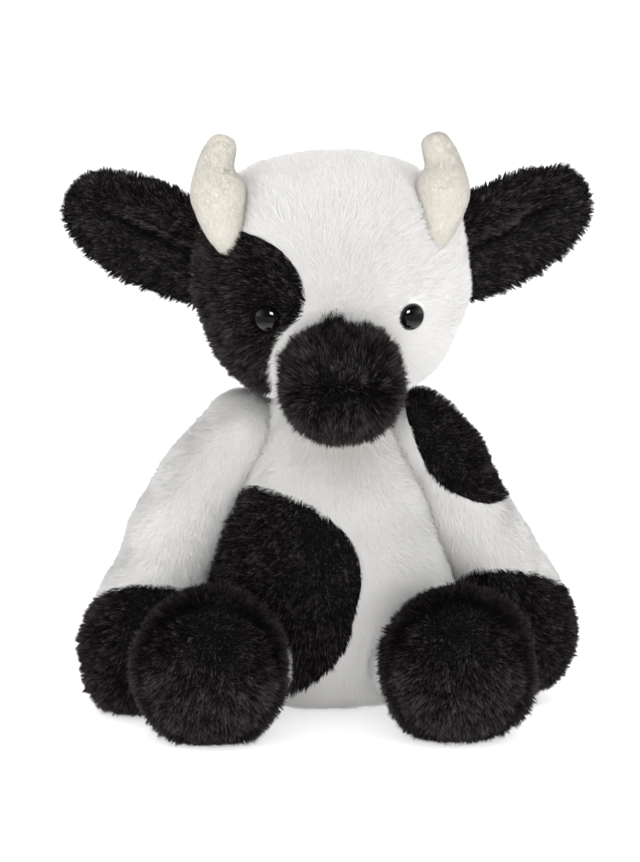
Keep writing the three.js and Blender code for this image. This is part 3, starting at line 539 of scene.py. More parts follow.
def pile_material(name, tones, roughness, sheen, specular):
    """Tone is one number for each strand and the place along it, laid down on the mesh."""
    def build(shader, node, link):
        tone = node("ShaderNodeAttribute", attribute_name="tone")
        colours = ramp(node, tones)
        link(tone.outputs["Fac"], colours.inputs["Fac"])
        link(colours.outputs["Color"], shader.inputs["Base Color"])
        settle(shader, Roughness=roughness, Sheen_Weight=sheen, Sheen_Roughness=0.5,
               Specular_IOR_Level=specular)
    return material(name, build)


def texture(node, link, kind, **settings):
    """A texture in the object's own coordinates."""
    made = node(kind, **settings)
    link(node("ShaderNodeTexCoord").outputs["Object"], made.inputs["Vector"])
    return made


def mottled(shader, node, link, value, stops, strength, depth):
    """Colour and bumps that both follow one value."""
    colours = ramp(node, stops)
    bump = node("ShaderNodeBump", Strength=strength, Distance=depth)
    link(value, colours.inputs["Fac"])
    link(value, bump.inputs["Height"])
    link(bump.outputs["Normal"], shader.inputs["Normal"])
    link(colours.outputs["Color"], shader.inputs["Base Color"])


def fabric_material(name, dark, light, scale=900.0):
    """Knitted ground of a pile fabric, or a short nap: fine mottling with bumps to match."""
    def build(shader, node, link):
        noise = texture(node, link, "ShaderNodeTexNoise", Scale=scale, Detail=4.0)
        mottled(shader, node, link, noise.outputs["Fac"], [(0.3, dark), (0.75, light)], 0.5, 0.0006)
        settle(shader, Roughness=0.9, Specular_IOR_Level=0.2)
    return material(name, build)


def muslin_material():
    """Plain weave: two crossed sets of threads with the gaps between them darker."""
    def build(shader, node, link):
        both = node("ShaderNodeMath", operation="MULTIPLY")
        for k, direction in enumerate("XZ"):
            threads = texture(node, link, "ShaderNodeTexWave", Scale=420.0, Distortion=0.4,
                              bands_direction=direction)
            link(threads.outputs["Fac"], both.inputs[k])
        stops = [(0.0, (0.50, 0.45, 0.36)), (0.5, (0.72, 0.67, 0.57))]
        mottled(shader, node, link, both.outputs[0], stops, 0.6, 0.0003)
        settle(shader, Roughness=0.85)
    return material("muslin", build)


def plastic_material(name, dark, light, roughness, scratches):
    """Moulded plastic: a little uneven in colour, with faint fine scratches in its gloss."""
    def build(shader, node, link):
        noise = texture(node, link, "ShaderNodeTexNoise", Scale=260.0, Detail=3.0)
        fine = texture(node, link, "ShaderNodeTexNoise", Scale=1600.0, Detail=2.0)
        colours = ramp(node, [(0.35, dark), (0.7, light)])
        gloss = node("ShaderNodeMapRange", To_Min=roughness, To_Max=roughness + scratches)
        link(noise.outputs["Fac"], colours.inputs["Fac"])
        link(fine.outputs["Fac"], gloss.inputs["Value"])
        link(gloss.outputs["Result"], shader.inputs["Roughness"])
        link(colours.outputs["Color"], shader.inputs["Base Color"])
        settle(shader, IOR=1.55)
    return material(name, build)


# The white pile's lower, warm beige tones are the colour of its painted shade, reached under the chin and
# along creases
WHITE_PILE = pile_material(
    "white pile",
    [(0, (0.58, 0.50, 0.42)), (0.35, (0.77, 0.725, 0.67)), (0.6, (0.88, 0.865, 0.84)),
     (1, (0.955, 0.945, 0.93))],
    0.8, 0.2, 0.0)
# The black pile's upper tones are reached mostly by its lighter tips and glints, which are painted
# highlights
BLACK_PILE = pile_material(
    "black pile",
    [(0, (0.0012, 0.0009, 0.0009)), (0.35, (0.0035, 0.0028, 0.0028)), (0.6, (0.014, 0.0115, 0.0118)),
     (0.8, (0.045, 0.038, 0.039)), (1, (0.13, 0.115, 0.118))],
    0.5, 0.0, 0.04)
VELOUR_NAP = pile_material(
    "velour nap",
    [(0, (0.58, 0.54, 0.46)), (0.4, (0.67, 0.64, 0.575)), (1, (0.74, 0.72, 0.665))],
    0.8, 0.15, 0.0)
WHITE_PELT = fabric_material("white pelt", (0.84, 0.82, 0.79), (0.92, 0.91, 0.90))
BLACK_PELT = fabric_material("black pelt", (0.0015, 0.0012, 0.0012), (0.004, 0.0034, 0.0034))
VELOUR = fabric_material("velour", (0.57, 0.53, 0.45), (0.67, 0.64, 0.58), 1400.0)
EYE_PLASTIC = plastic_material("eye plastic", (0.002, 0.0016, 0.0018), (0.004, 0.0034, 0.0036), 0.04, 0.05)
WASHER_PLASTIC = plastic_material("washer plastic", (0.76, 0.76, 0.72), (0.86, 0.86, 0.82), 0.35, 0.15)
MUSLIN = muslin_material()

# Pile: how each fabric's strands stand. Clumps are (size, strength) of strands that share a tip.
WHITE_FUR = dict(
    mat=WHITE_PILE, slot="white_fur", density=4.2, length=5.6, lift=52, width=0.56, side=0.05,
    clumps=((1.5, 0.12), (6, 0.12)), ruffle=0.22, tone=0.93, spread=0.02, root_tone=0, tip_tone=0, glint=0)
# Black pile: its darker roots are painted shade in the pile's depth, and its lighter tips and glints
# painted highlights
BLACK_FUR = dict(
    mat=BLACK_PILE, slot="black_fur", density=5.2, length=5.7, lift=74, width=0.52, side=0.6,
    clumps=((1.6, 0.62), (4.5, 0.14)), ruffle=0.35, tone=0.35, spread=0.22, root_tone=0.35, tip_tone=0.35,
    glint=0.4)
VELOUR_PLUSH = dict(
    mat=VELOUR_NAP, slot="cream_velour", density=6, length=1.3, lift=48, width=0.4, side=0.1,
    clumps=((1.4, 0.12),), ruffle=0.3, tone=0.6, spread=0.06, root_tone=0.05, tip_tone=0.04, glint=0)
MOST_STRANDS = 60000

# How near a neighbour the pile grows longer, and by how much
SEAM_REACH = 6
SEAM_LONGER = 0.2


# Pieces

def add_object(name, data):
    obj = bpy.data.objects.new(name, data)
    bpy.context.scene.collection.objects.link(obj)
    return obj


def add_piece(name, mesh, mat, body, slot):
    """A finished mesh as a piece that rides on a body."""
    mesh.materials.append(mat)
    obj = add_object(name, mesh)
    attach(obj, body)
    return obj


def new_object(name, points, faces, mat, body, slot):
    mesh = bpy.data.meshes.new(name)
    mesh.from_pydata(((np.asarray(points) + ORIGIN) * MM).tolist(), [], faces)
    mesh.shade_smooth()
    return add_piece(name, mesh, mat, body, slot)


def on_floor(points, outwards=None):
    """Points kept above the floor; what would go through it is spread outwards instead."""
    points = np.array(points, float)
    under = np.maximum(FLOOR_CLEARANCE - points[:, 2], 0)
    if outwards is not None:
        points[:, :2] += unit(outwards[:, :2]) * (0.7 * under)[:, None]
    points[:, 2] += under
    return points


def pelt(name, form, mat, body, slot, replaced):
    """The closed ground of a stuffed piece, which stands for its solids."""
    points, faces = form
    obj = new_object(name, on_floor(points), outward(points, faces), mat, body, slot)
    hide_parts(*replaced)


def panel(name, form, chosen, body, replaced, proud=0.35, sunk=0.6):
    """A black panel's ground: cut from the form's skin, a little proud of it and closed."""
    points, faces = cut_out((form[0], outward(*form)), chosen)
    normals = normals_of(points, faces)
    used = sorted({i for f in faces for i in f})
    index = {v: k for k, v in enumerate(used)}
    outer = points[used] + normals[used] * proud
    inner = points[used] - normals[used] * sunk
    n = len(used)
    top = [[index[i] for i in f] for f in faces]
    bottom = [[i + n for i in f[::-1]] for f in top]
    edges = {edge for f in top for edge in zip(f, f[1:] + f[:1])}
    rim = [[b, a, a + n, b + n] for a, b in edges if (b, a) not in edges]
    skin = on_floor(np.concatenate([outer, inner]))
    obj = new_object(name, skin, top + bottom + rim, BLACK_PELT, body, "black_fur")
    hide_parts(*replaced)


def roots_on(form, density, keep=None):
    """Random places on a form's faces, with normals. keep says which points may carry pile."""
    points, faces = form
    tris = triangles(faces)
    if keep is not None:
        tris = tris[keep[tris].all(1)]
    normals = normals_of(points, faces)
    a, b, c = points[tris].transpose(1, 0, 2)
    area = np.linalg.norm(np.cross(b - a, c - a), axis=1) / 2
    count = int(area.sum() * density)
    pick = rng.choice(len(tris), count, p=area / area.sum())
    u, v = rng.random((2, count))
    fold = u + v > 1
    u[fold], v[fold] = 1 - u[fold], 1 - v[fold]
    weights = np.stack([1 - u - v, u, v], 1)[:, :, None]
    place = (points[tris[pick]] * weights).sum(1)
    normal = unit((normals[tris[pick]] * weights).sum(1))
    return place, normal


def clumped(place, tip, size, strength):
    """Strands whose roots share one warped cell lean to one tip, some cells more than others."""
    warp = np.stack([Waves(3 * size)(place) for _ in range(3)], 1)
    cell = np.floor((place + warp * size * 0.45) / size).astype(np.int64)
    _, group = np.unique(cell, axis=0, return_inverse=True)
    group = group.ravel()
    members = np.bincount(group)
    shared = np.stack([np.bincount(group, tip[:, k]) / members for k in range(3)], 1)[group]
    pull = strength * rng.uniform(0.3, 1.7, len(members))[group][:, None]
    return tip + (shared - tip) * np.minimum(pull, 1), rng.normal(size=len(members))[group]


def strands(name, points, tones, normals, mat, body, slot):
    """One mesh of three-sided spikes: three points at the root and one at the tip of each."""
    n = len(points)
    mesh = bpy.data.meshes.new(name)
    mesh.vertices.add(n * 4)
    mesh.vertices.foreach_set("co", ((points.reshape(-1, 3) + ORIGIN) * MM).astype(np.float32).ravel())
    mesh.loops.add(n * 9)
    mesh.polygons.add(n * 3)
    loops = (np.arange(n)[:, None] * 4 + [0, 1, 3, 1, 2, 3, 2, 0, 3]).ravel().astype(np.int32)
    mesh.loops.foreach_set("vertex_index", loops)
    mesh.polygons.foreach_set("loop_start", np.arange(n * 3, dtype=np.int32) * 3)
    mesh.update(calc_edges=True)
    mesh.shade_smooth()
    values = mesh.attributes.new("tone", "FLOAT", "POINT")
    values.data.foreach_set("value", np.clip(tones, 0, 1).astype(np.float32).ravel())

    # One small cell of the bake map for each strand
    side = math.ceil(math.sqrt(n))
    corner = np.stack([np.arange(n) % side, np.arange(n) // side], 1)[:, None, :]
    local = np.array([[0.1, 0.1], [0.37, 0.1], [0.23, 0.9], [0.37, 0.1], [0.63, 0.1], [0.5, 0.9],
                      [0.63, 0.1], [0.9, 0.1], [0.77, 0.9]])
    uv = ((corner + local) / side).reshape(-1, 2)
    layer = mesh.uv_layers.new(name="OFBake")
    layer.uv.foreach_set("vector", uv.astype(np.float32).ravel())

    mesh.normals_split_custom_set_from_vertices(normals.reshape(-1, 3).astype(np.float32))
    add_piece(name, mesh, mat, body, slot)


def pile(name, place, normal, flow, fur, body, shade=0.0, longer=1.0):
    """Strands of a fabric's pile that lean along flow. shade and longer vary with the place."""
    n = len(place)
    if n == 0:
        return
    length = fur["length"] * longer * rng.uniform(0.78, 1.14, n) * (1 + 0.07 * Waves(9)(place))
    flow = unit(np.broadcast_to(flow, (n, 3))) + rng.normal(size=(n, 3)) * fur["ruffle"]
    flow = flow + 0.25 * np.stack([Waves(24)(place) for _ in range(3)], 1)
    flow = unit(flow - normal * (flow * normal).sum(1, keepdims=True))
    lift = np.radians(fur["lift"] + rng.normal(size=n) * 9)[:, None]
    root = place - normal * 0.3
    tip = root + (np.cos(lift) * flow + np.sin(lift) * normal) * length[:, None]
    tone = fur["tone"] + shade + fur["spread"] * (0.8 * rng.normal(size=n) + 0.3 * Waves(18)(place))
    for size, strength in fur["clumps"]:
        tip, of_clump = clumped(place, tip, size, strength)
        tone = tone + fur["spread"] * strength * of_clump
        tip = root + (tip - root) * (1 + 0.3 * strength * np.clip(of_clump, -2, 2))[:, None]
    # Painted light along each strand: root_tone darkens its root as painted shade, and tip_tone and glint
    # lighten its tip as painted highlights
    tip_tone = fur["tip_tone"] + fur["glint"] * (rng.random(n) < 0.2)
    tones = np.stack([tone - fur["root_tone"]] * 3 + [tone + tip_tone], 1)
    side, other = ring_frames(unit(tip - root), rng.normal(size=(n, 3)))
    turns = 2 * math.pi * np.arange(3) / 3
    corners = [side * math.cos(turn) + other * math.sin(turn) for turn in turns]
    half = (fur["width"] / 2 * rng.uniform(0.7, 1.25, n))[:, None]
    points = np.stack([root + half * corner for corner in corners] + [tip], 1)
    points = on_floor(points.reshape(-1, 3), np.repeat(normal, 4, 0)).reshape(n, 4, 3)
    soft = normal + 0.1 * rng.normal(size=(n, 3))
    normals = unit(np.stack([soft + fur["side"] * corner for corner in corners] + [soft], 1))

    # Long runs of strands are kept in several meshes, from front to back
    parts = math.ceil(n / MOST_STRANDS)
    order = np.argsort(place[:, 1]) if parts > 1 else np.arange(n)
    for k, chosen in enumerate(np.array_split(order, parts)):
        label = name if parts == 1 else f"{name}_{k + 1}"
        strands(label, points[chosen], tones[chosen], normals[chosen], fur["mat"], body, fur["slot"])


def away_from(place, centre, also=(0, 0, 0)):
    return unit(place - np.asarray(centre, float)) + np.asarray(also, float)


# Shapes of the stuffed pieces, each pressed where it meets its neighbour

def body_shape():
    line = [(0, 0, -0.5), (0, 0, BODY_HEIGHT / 3), (0, -BODY_LEAN, BODY_HEIGHT)]
    form = lumpy(stuffed(line, BODY_HALF_WIDTH, BODY_HALF_DEPTH, BODY_GIRTH, BODY_FULLNESS,
                         rings=72, around=110), 0.7)
    form[0][:, 2] = np.clip(form[0][:, 2], FLOOR_CLEARANCE, NECK_HEIGHT - SEAM_GAP)
    rooms = [(mirrored(SHOULDER, side), SHOULDER_RADIUS) for side in (1, -1)]
    rooms += [(mirrored(HIP, side), HIP_RADIUS) for side in (1, -1)]
    for centre, radius in rooms + [(TAIL_ROOT, TAIL_RADIUS)]:
        form = make_room(form, centre, radius - PELT_DEPTH + SEAM_GAP)
    return form


def arm_line(name):
    return [mirrored(p, SIDES[name]) for p in [SHOULDER, *ARM_LINES[name]]]


def arm_shape(name):
    line = arm_line(name)
    form = lumpy(limb(line, HOOF_RADIUS, SHOULDER_RADIUS, ARM_GIRTH, ARM_FULLNESS, ARM_START,
                      rings=60, around=72, ball_end=0), 0.6)
    in_ball = np.linalg.norm(form[0] - line[0], axis=1) < SHOULDER_RADIUS + 1
    return pressed_from(form, BODY, SEAM_GAP, in_ball)


def foot_axis(name):
    foot_x, back = FOOT_PLACES[name]
    side = SIDES[name]
    heel = np.array([side * (foot_x - FOOT_SPLAY), -back, FOOT_AXIS_HEIGHT])
    sole = np.array([side * (foot_x + FOOT_SPLAY), -back - FOOT_LENGTH, FOOT_AXIS_HEIGHT])
    return heel, sole


def foot_shape(name):
    heel, sole = foot_axis(name)
    return lumpy(stuffed([heel, (heel + sole) / 2, sole], FOOT_HALF_HEIGHT, FOOT_HALF_WIDTH,
                         FOOT_GIRTH, FOOT_FULLNESS, across=(0, 0, 1), rings=52, around=80,
                         squarer=lambda u, v: np.where(u < 0, FOOT_LOWER_FULLNESS, 2)), 0.7)


def leg_shape(name):
    heel, sole = foot_axis(name)
    hip = mirrored(HIP, SIDES[name])
    forwards = unit(sole - heel)
    ankle = heel + forwards * ANKLE
    line = [hip, (hip + ankle) / 2, ankle, ankle + forwards * LEG_RADIUS / 2]
    return limb(line, LEG_RADIUS, HIP_RADIUS, [(0, 1), (1, 1)], 2.7, 0.45, across=(0, 0, 1),
                rings=12, around=48)


def head_shape():
    line = [(0, -HEAD_FORWARD, HEAD_BOTTOM + HEAD_HEIGHT * share) for share in (0, 0.5, 1)]
    form = lumpy(stuffed(line, HEAD_HALF_WIDTH, HEAD_HALF_DEPTH, HEAD_GIRTH, HEAD_FULLNESS,
                         rings=72, around=110), 0.6)
    form[0][:, 2] = np.maximum(form[0][:, 2], NECK_HEIGHT + SEAM_GAP)
    return in_head(form[0]), form[1]


def muzzle_shape():
    ends = [(0, -MUZZLE_BACK, MUZZLE_HEIGHT), (0, -MUZZLE_FRONT, MUZZLE_HEIGHT)]
    middle = np.mean(ends, axis=0)
    points, faces = lumpy(stuffed(
        [ends[0], middle, ends[1]], MUZZLE_HALF_WIDTH, MUZZLE_HALF_HEIGHT, MUZZLE_GIRTH,
        MUZZLE_FULLNESS, rings=44, around=72,
        squarer=lambda u, v: np.where(v > 0, MUZZLE_TOP_FULLNESS, 2)), 0.5)
    pinch = bell(points[:, 2] - MUZZLE_HEIGHT, 3.2) * np.exp(-(points[:, 0] / MOUTH_HALF_WIDTH) ** 4)
    pinch *= np.clip((middle[1] - points[:, 1]) / 20, 0, 1)
    points[:, 1] += MOUTH_DEPTH * pinch
    return in_head(points), faces


BODY = body_shape()
ARMS = {name: arm_shape(name) for name in SIDES}
FEET = {name: foot_shape(name) for name in SIDES}
LEGS = {name: leg_shape(name) for name in SIDES}
HEAD = head_shape()
MUZZLE = muzzle_shape()


# Body, with the black panel let into its front

def dress_body():
    pelt("body_pelt", BODY, WHITE_PELT, "body", "white_fur", ["body_skin", "body_stuffing"])
    panel("belly_patch_pelt", BODY, in_belly_patch, "body", ["belly_patch"])
    place, normal = roots_on(BODY, WHITE_FUR["density"], open_points(BODY, HEAD))
    white = ~in_belly_patch(place)
    place, normal = place[white], normal[white]
    crease = sum(nearness(place, arm, SEAM_REACH) for arm in ARMS.values())
    by_legs = sum(nearness(place, leg, SEAM_REACH) for leg in LEGS.values())
    # A painted shadow under the muzzle darkens the chest's pile towards warm beige
    (x, z), (wide, high) = CHIN_SHADOW, CHIN_SHADOW_SIZE
    chin_shadow = bell(place[:, 0] - x, wide) * bell(place[:, 2] - z, high) * (place[:, 1] < 0)
    pile("body_pile", place, normal, DOWN, WHITE_FUR, "body",
         shade=crease_shade(crease) - 0.5 * chin_shadow,
         longer=1 + SEAM_LONGER * crease + 0.5 * by_legs)
    place, normal = roots_on(BODY, BLACK_FUR["density"])
    black = in_belly_patch(place)
    pile("belly_patch_pile", place[black], normal[black], DOWN + [0.15, 0, 0], BLACK_FUR, "body",
         shade=facing_shade(normal[black]))


def crease_shade(crease):
    """Painted shade in the crease where two pieces touch, also standing for the seam there: a darker line
    just off the touch, from the nearness of one to the other.
    """
    return -0.3 * bell(crease - 0.6, 0.15)


def facing_shade(normal):
    """Painted light and shade: pile that faces up is darkened and pile that faces down lightened, by how
    the light falls on it.
    """
    return -0.07 * normal[:, 2]


# Arms, with their black hooves and the panel over the left shoulder

def dress_arm(name):
    form, body, line = ARMS[name], f"arm_{name}", arm_line(name)
    wrist = line[3] * [1, 1, 0] + [0, 0, HOOF_SEAM_HEIGHT + HOOF_LIFT[name]]
    upwards = np.array([0, math.sin(HOOF_SEAM_TILT), math.cos(HOOF_SEAM_TILT)])

    def in_hoof(points):
        return (points - wrist) @ upwards < 0

    def in_patch(points):
        return in_shoulder_patch(points) & (name == "left")

    pelt(f"arm_{name}_pelt", form, WHITE_PELT, body, "white_fur",
         [f"arm_{name}_sleeve", f"arm_{name}_stuffing"])
    panel(f"arm_{name}_hoof_pelt", form, in_hoof, body, [f"arm_{name}_hoof"])
    keep = open_points(form, BODY, depth=0.8)
    outwards = np.array([SIDES[name] * 0.45, -0.5, 0])

    place, normal = roots_on(form, BLACK_FUR["density"], keep)
    tip = line[-1] + [0, 0, 0.8 * HOOF_RADIUS]
    low = place[:, 2] < HOOF_LIFT[name] + HOOF_RADIUS
    flow = np.where(low[:, None], away_from(place, tip, 0.4 * DOWN), DOWN + outwards)
    hoof = in_hoof(place)
    pile(f"arm_{name}_hoof_pile", place[hoof], normal[hoof], flow[hoof], BLACK_FUR, body,
         shade=facing_shade(normal[hoof]))
    if name == "left":
        panel("arm_left_shoulder_patch_pelt", form, in_patch, body, ["arm_left_shoulder_patch"])
        black = in_patch(place)
        pile("arm_left_shoulder_patch_pile", place[black], normal[black], np.array([0.4, 0, -0.8]),
             BLACK_FUR, body, shade=facing_shade(normal[black]), longer=0.85)

    place, normal = roots_on(form, WHITE_FUR["density"], keep)
    white = ~in_hoof(place) & ~in_patch(place)
    place, normal = place[white], normal[white]
    crease = nearness(place, BODY, SEAM_REACH)
    pile(f"arm_{name}_sleeve_pile", place, normal, DOWN + outwards, WHITE_FUR, body,
         shade=crease_shade(crease), longer=1 + SEAM_LONGER * crease)


# Feet with their round soles, and the short legs behind them

def dress_leg(name):
    body, foot, leg = f"leg_{name}", FEET[name], LEGS[name]
    pelt(f"leg_{name}_foot_pelt", foot, BLACK_PELT, body, "black_fur",
         [f"leg_{name}_foot", f"leg_{name}_sole", f"leg_{name}_stuffing"])
    pelt(f"leg_{name}_sleeve_pelt", leg, WHITE_PELT, body, "white_fur", [f"leg_{name}_sleeve"])
    place, normal = roots_on(foot, BLACK_FUR["density"])
    heel, sole = foot_axis(name)
    off = place - (heel + sole) / 2
    spread = np.hypot(off[:, 0] / FOOT_HALF_WIDTH, off[:, 2] / FOOT_HALF_HEIGHT)
    front = np.clip(-off[:, 1] / FOOT_LENGTH * 4, 0, 1)
    seam = bell(spread - SOLE_SEAM, 0.05) * front
    flow = DOWN + off * [0.7, 0, 0] / FOOT_HALF_WIDTH + np.outer(normal[:, 2] > 0, [0, -0.5, 0])
    # Painted light on the lower front of the sole, and painted shade on pile that faces up
    painted_sole_light = 0.13 * bell(off[:, 2] + 0.35 * FOOT_HALF_HEIGHT, 0.5 * FOOT_HALF_HEIGHT) * front
    pile(f"leg_{name}_foot_pile", place, normal, flow, BLACK_FUR, body,
         shade=2 * facing_shade(normal) - 0.4 * seam + painted_sole_light, longer=1 - 0.25 * seam)
    place, normal = roots_on(leg, WHITE_FUR["density"], open_points(leg, foot, BODY))
    pile(f"leg_{name}_sleeve_pile", place, normal, DOWN, WHITE_FUR, body)


# Head, with the black panel over its right eye

def eye_seat(side):
    """Where an eye sits on the head's form, and the way that it looks, in the cow's frame."""
    height = (EYE_HEIGHT - HEAD_BOTTOM) / HEAD_HEIGHT
    fullness = (1 - abs(2 * height - 1) ** HEAD_FULLNESS) ** (1 / HEAD_FULLNESS)
    girth = fullness * float(share_at(HEAD_GIRTH, height))
    x = side * EYE_SPACING / 2
    out = HEAD_HALF_DEPTH * girth * math.sqrt(1 - (x / (HEAD_HALF_WIDTH * girth)) ** 2)
    rise = EYE_HEIGHT - HEAD_BOTTOM - HEAD_HEIGHT / 2
    axis = np.array([x / HEAD_HALF_WIDTH ** 2, -out / HEAD_HALF_DEPTH ** 2, rise / (HEAD_HEIGHT / 2) ** 2])
    return in_head([x, -HEAD_FORWARD - out, EYE_HEIGHT]), in_head(unit(axis))


def dress_head():
    pelt("head_pelt", HEAD, WHITE_PELT, "head", "white_fur", ["head_skin", "head_stuffing"])
    panel("eye_patch_pelt", HEAD, in_eye_patch, "head", ["eye_patch"])
    keep = open_points(HEAD, MUZZLE, BODY)
    parting = in_head(FACE_PARTING)
    for name, fur, black in (("head_pile", WHITE_FUR, False), ("eye_patch_pile", BLACK_FUR, True)):
        place, normal = roots_on(HEAD, fur["density"], keep)
        chosen = in_eye_patch(place) == black
        for side in (1, -1):
            seat, axis = eye_seat(side)
            off = place - seat
            off -= np.outer(off @ axis, axis)
            bare = np.linalg.norm(off, axis=1) < EYE_RADIUS + BARE_ROUND_EYES
            chosen &= ~bare | (place[:, 1] > seat[1] + 2 * EYE_RADIUS)
        place, normal = place[chosen], normal[chosen]
        back = np.clip(place[:, 1] / HEAD_BACK, 0, 1)[:, None]
        flow = away_from(place, parting) * (1 - back) + DOWN * back
        shade = facing_shade(normal) if black else 0
        by_eyes = sum(bell(np.linalg.norm(place - eye_seat(side)[0], axis=1), SHORT_ROUND_EYES)
                      for side in (1, -1))
        pile(name, place, normal, flow, fur, "head", shade=shade, longer=1 - 0.4 * by_eyes)


def dress_eye(name):
    seat, axis = eye_seat(SIDES[name])
    pitch = SHANK_LENGTH / (SHANK_RIBS + 3)
    foot = -EYE_SUNK - SHANK_LENGTH
    profile = [(0, foot), (SHANK_RADIUS, foot)]
    for rib in range(SHANK_RIBS):
        start = foot + (rib + 1) * pitch
        profile += [(SHANK_RADIUS, start), (SHANK_RADIUS + SHANK_RIB_HEIGHT, start + pitch / 3),
                    (SHANK_RADIUS, start + pitch * 2 / 3)]
    profile += [(SHANK_RADIUS, -EYE_SUNK), (EYE_RADIUS - EYE_RIM, -EYE_SUNK)]
    for turn in np.radians(np.arange(0, 90, 5)):
        height = -EYE_SUNK + EYE_RIM + (EYE_DOME - EYE_RIM) * math.sin(turn)
        profile.append((EYE_RADIUS * math.cos(turn), height))
    profile.append((0, -EYE_SUNK + EYE_DOME))
    points, faces = lathe(profile, seat, axis)
    obj = new_object(f"eye_{name}_dome", points, outward(points, faces), EYE_PLASTIC, "head",
                     "eye_plastic")
    obj.data.set_sharp_from_angle(angle=math.radians(40))
    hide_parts(f"eye_{name}")


# Muzzle: longer pile that grows away from the mouth

def dress_muzzle():
    pelt("muzzle_pelt", MUZZLE, BLACK_PELT, "head", "black_fur",
         ["muzzle_nose", "muzzle_chin", "muzzle_stuffing"])
    place, normal = roots_on(MUZZLE, BLACK_FUR["density"], open_points(MUZZLE, HEAD))
    off = from_head(place) - [0, 10 - MUZZLE_FRONT, MUZZLE_HEIGHT]
    off[:, 0] -= np.clip(off[:, 0], -MUZZLE_PARTING, MUZZLE_PARTING)
    upper = np.clip(off[:, 2] / MUZZLE_HALF_HEIGHT, 0, 1)
    rim = np.clip(1 - np.abs(from_head(normal)[:, 1]) * 1.4, 0, 1)
    tufts = np.clip(Waves(11)(place), 0, 1)
    # Along the mouth's crease the pile is shorter and darker: the seam between nose and chin, and painted
    # shade in the crease
    mouth = bell(off[:, 2], 2.2) * (np.abs(from_head(place)[:, 0]) < MOUTH_HALF_WIDTH)
    pile("muzzle_pile", place, normal, in_head(unit(off)), {**BLACK_FUR, "lift": 60}, "head",
         shade=facing_shade(normal) - 0.25 * mouth,
         longer=1.15 + rim * (0.1 + 1.2 * upper * tufts) - 0.25 * mouth)


# Horns: bent forms in short cream nap

def dress_horn(name):
    crown = np.array([HORN_OFFSET, 0, HEAD_BOTTOM + HEAD_HEIGHT])
    line = [in_head(mirrored(p, SIDES[name]) + crown) for p in HORN_LINE]
    form = stuffed(line, HORN_RADIUS, HORN_RADIUS, HORN_GIRTH, HORN_FULLNESS, swell=-VELOUR_DEPTH,
                   rings=44, around=48)
    pelt(f"horn_{name}_pelt", form, VELOUR, "head", "cream_velour",
         [f"horn_{name}_skin", f"horn_{name}_stuffing"])
    place, normal = roots_on(form, VELOUR_PLUSH["density"], open_points(form, HEAD))
    pile(f"horn_{name}_nap", place, normal, DOWN, VELOUR_PLUSH, "head")


# Ears: flat, folded along their middle, with tufts along the edges

def dress_ear(name):
    side, body = SIDES[name], f"ear_{name}"
    out = np.array([side * math.cos(EAR_RISE) * math.cos(EAR_SWEEP), math.sin(EAR_SWEEP),
                    math.sin(EAR_RISE) * math.cos(EAR_SWEEP)])
    front = unit(np.array([0, -1.0, 0]) + out * out[1])
    wide = unit(np.cross(front, out)) * side
    root = mirrored(EAR_ROOT, side) - out * EAR_OVERLAP
    u = -np.cos(math.pi * np.arange(EAR_COLUMNS + 1) / EAR_COLUMNS)
    rings = []
    for t in np.sin(math.pi / 2 * np.arange(EAR_ROWS + 1) / EAR_ROWS):
        half = EAR_HALF_WIDTH * float(share_at(EAR_WIDTHS, t)) - 1.5
        fold = EAR_CUP * np.abs(u * half / EAR_HALF_WIDTH) ** 1.15
        thick = EAR_HALF_THICKNESS * np.sqrt(np.maximum(1 - u * u, 0)) + 0.15
        line = root + out * (EAR_LENGTH + EAR_OVERLAP - 2) * t + np.outer(half * u - EAR_DROP, wide)
        rings.append(np.concatenate([line + np.outer(fold + thick, front),
                                     (line + np.outer(fold - thick, front))[::-1]]))
    form = skin_over([in_head(r) for r in rings], in_head(rings[0].mean(0)), in_head(rings[-1].mean(0)))
    form = lumpy(form, 0.4)
    out, front, wide, root = (in_head(v) for v in (out, front, wide, root))
    pelt(f"ear_{name}_pelt", form, BLACK_PELT, body, "black_fur",
         [f"ear_{name}_front", f"ear_{name}_back"])
    place, normal = roots_on(form, BLACK_FUR["density"], open_points(form, HEAD, depth=2.5))
    across = ((place - root) @ wide + EAR_DROP) / EAR_HALF_WIDTH
    reach = ((place - root) @ out) / EAR_LENGTH
    faces_front = normal @ front > 0
    # On the ear's front: painted shade along the fold, where the pile is also shorter, a painted light
    # line on the ridge beside it, and a painted sheen over its upper half
    crease = bell(across, 0.08) * bell(reach - 0.5, 0.36) * faces_front
    painted_ridge_light = bell(across - 0.13, 0.05) * bell(reach - 0.45, 0.26) * faces_front
    sheen = bell(across - 0.4, 0.3) * bell(reach - 0.35, 0.25) * faces_front
    edge = np.clip(1 - np.abs(normal @ front) * 1.5, 0, 1)
    lower = np.clip(-across, 0, 1)
    flow = out * 0.8 + np.outer(across * 1.1, wide) + DOWN * 0.1
    pile(f"ear_{name}_pile", place, normal, flow, {**BLACK_FUR, "lift": 50}, body,
         shade=facing_shade(normal) - 0.6 * crease + 0.35 * painted_ridge_light + 0.1 * sheen,
         longer=1 + edge * (0.1 + 0.35 * lower) - 0.25 * crease)


# Tail, with its black tuft

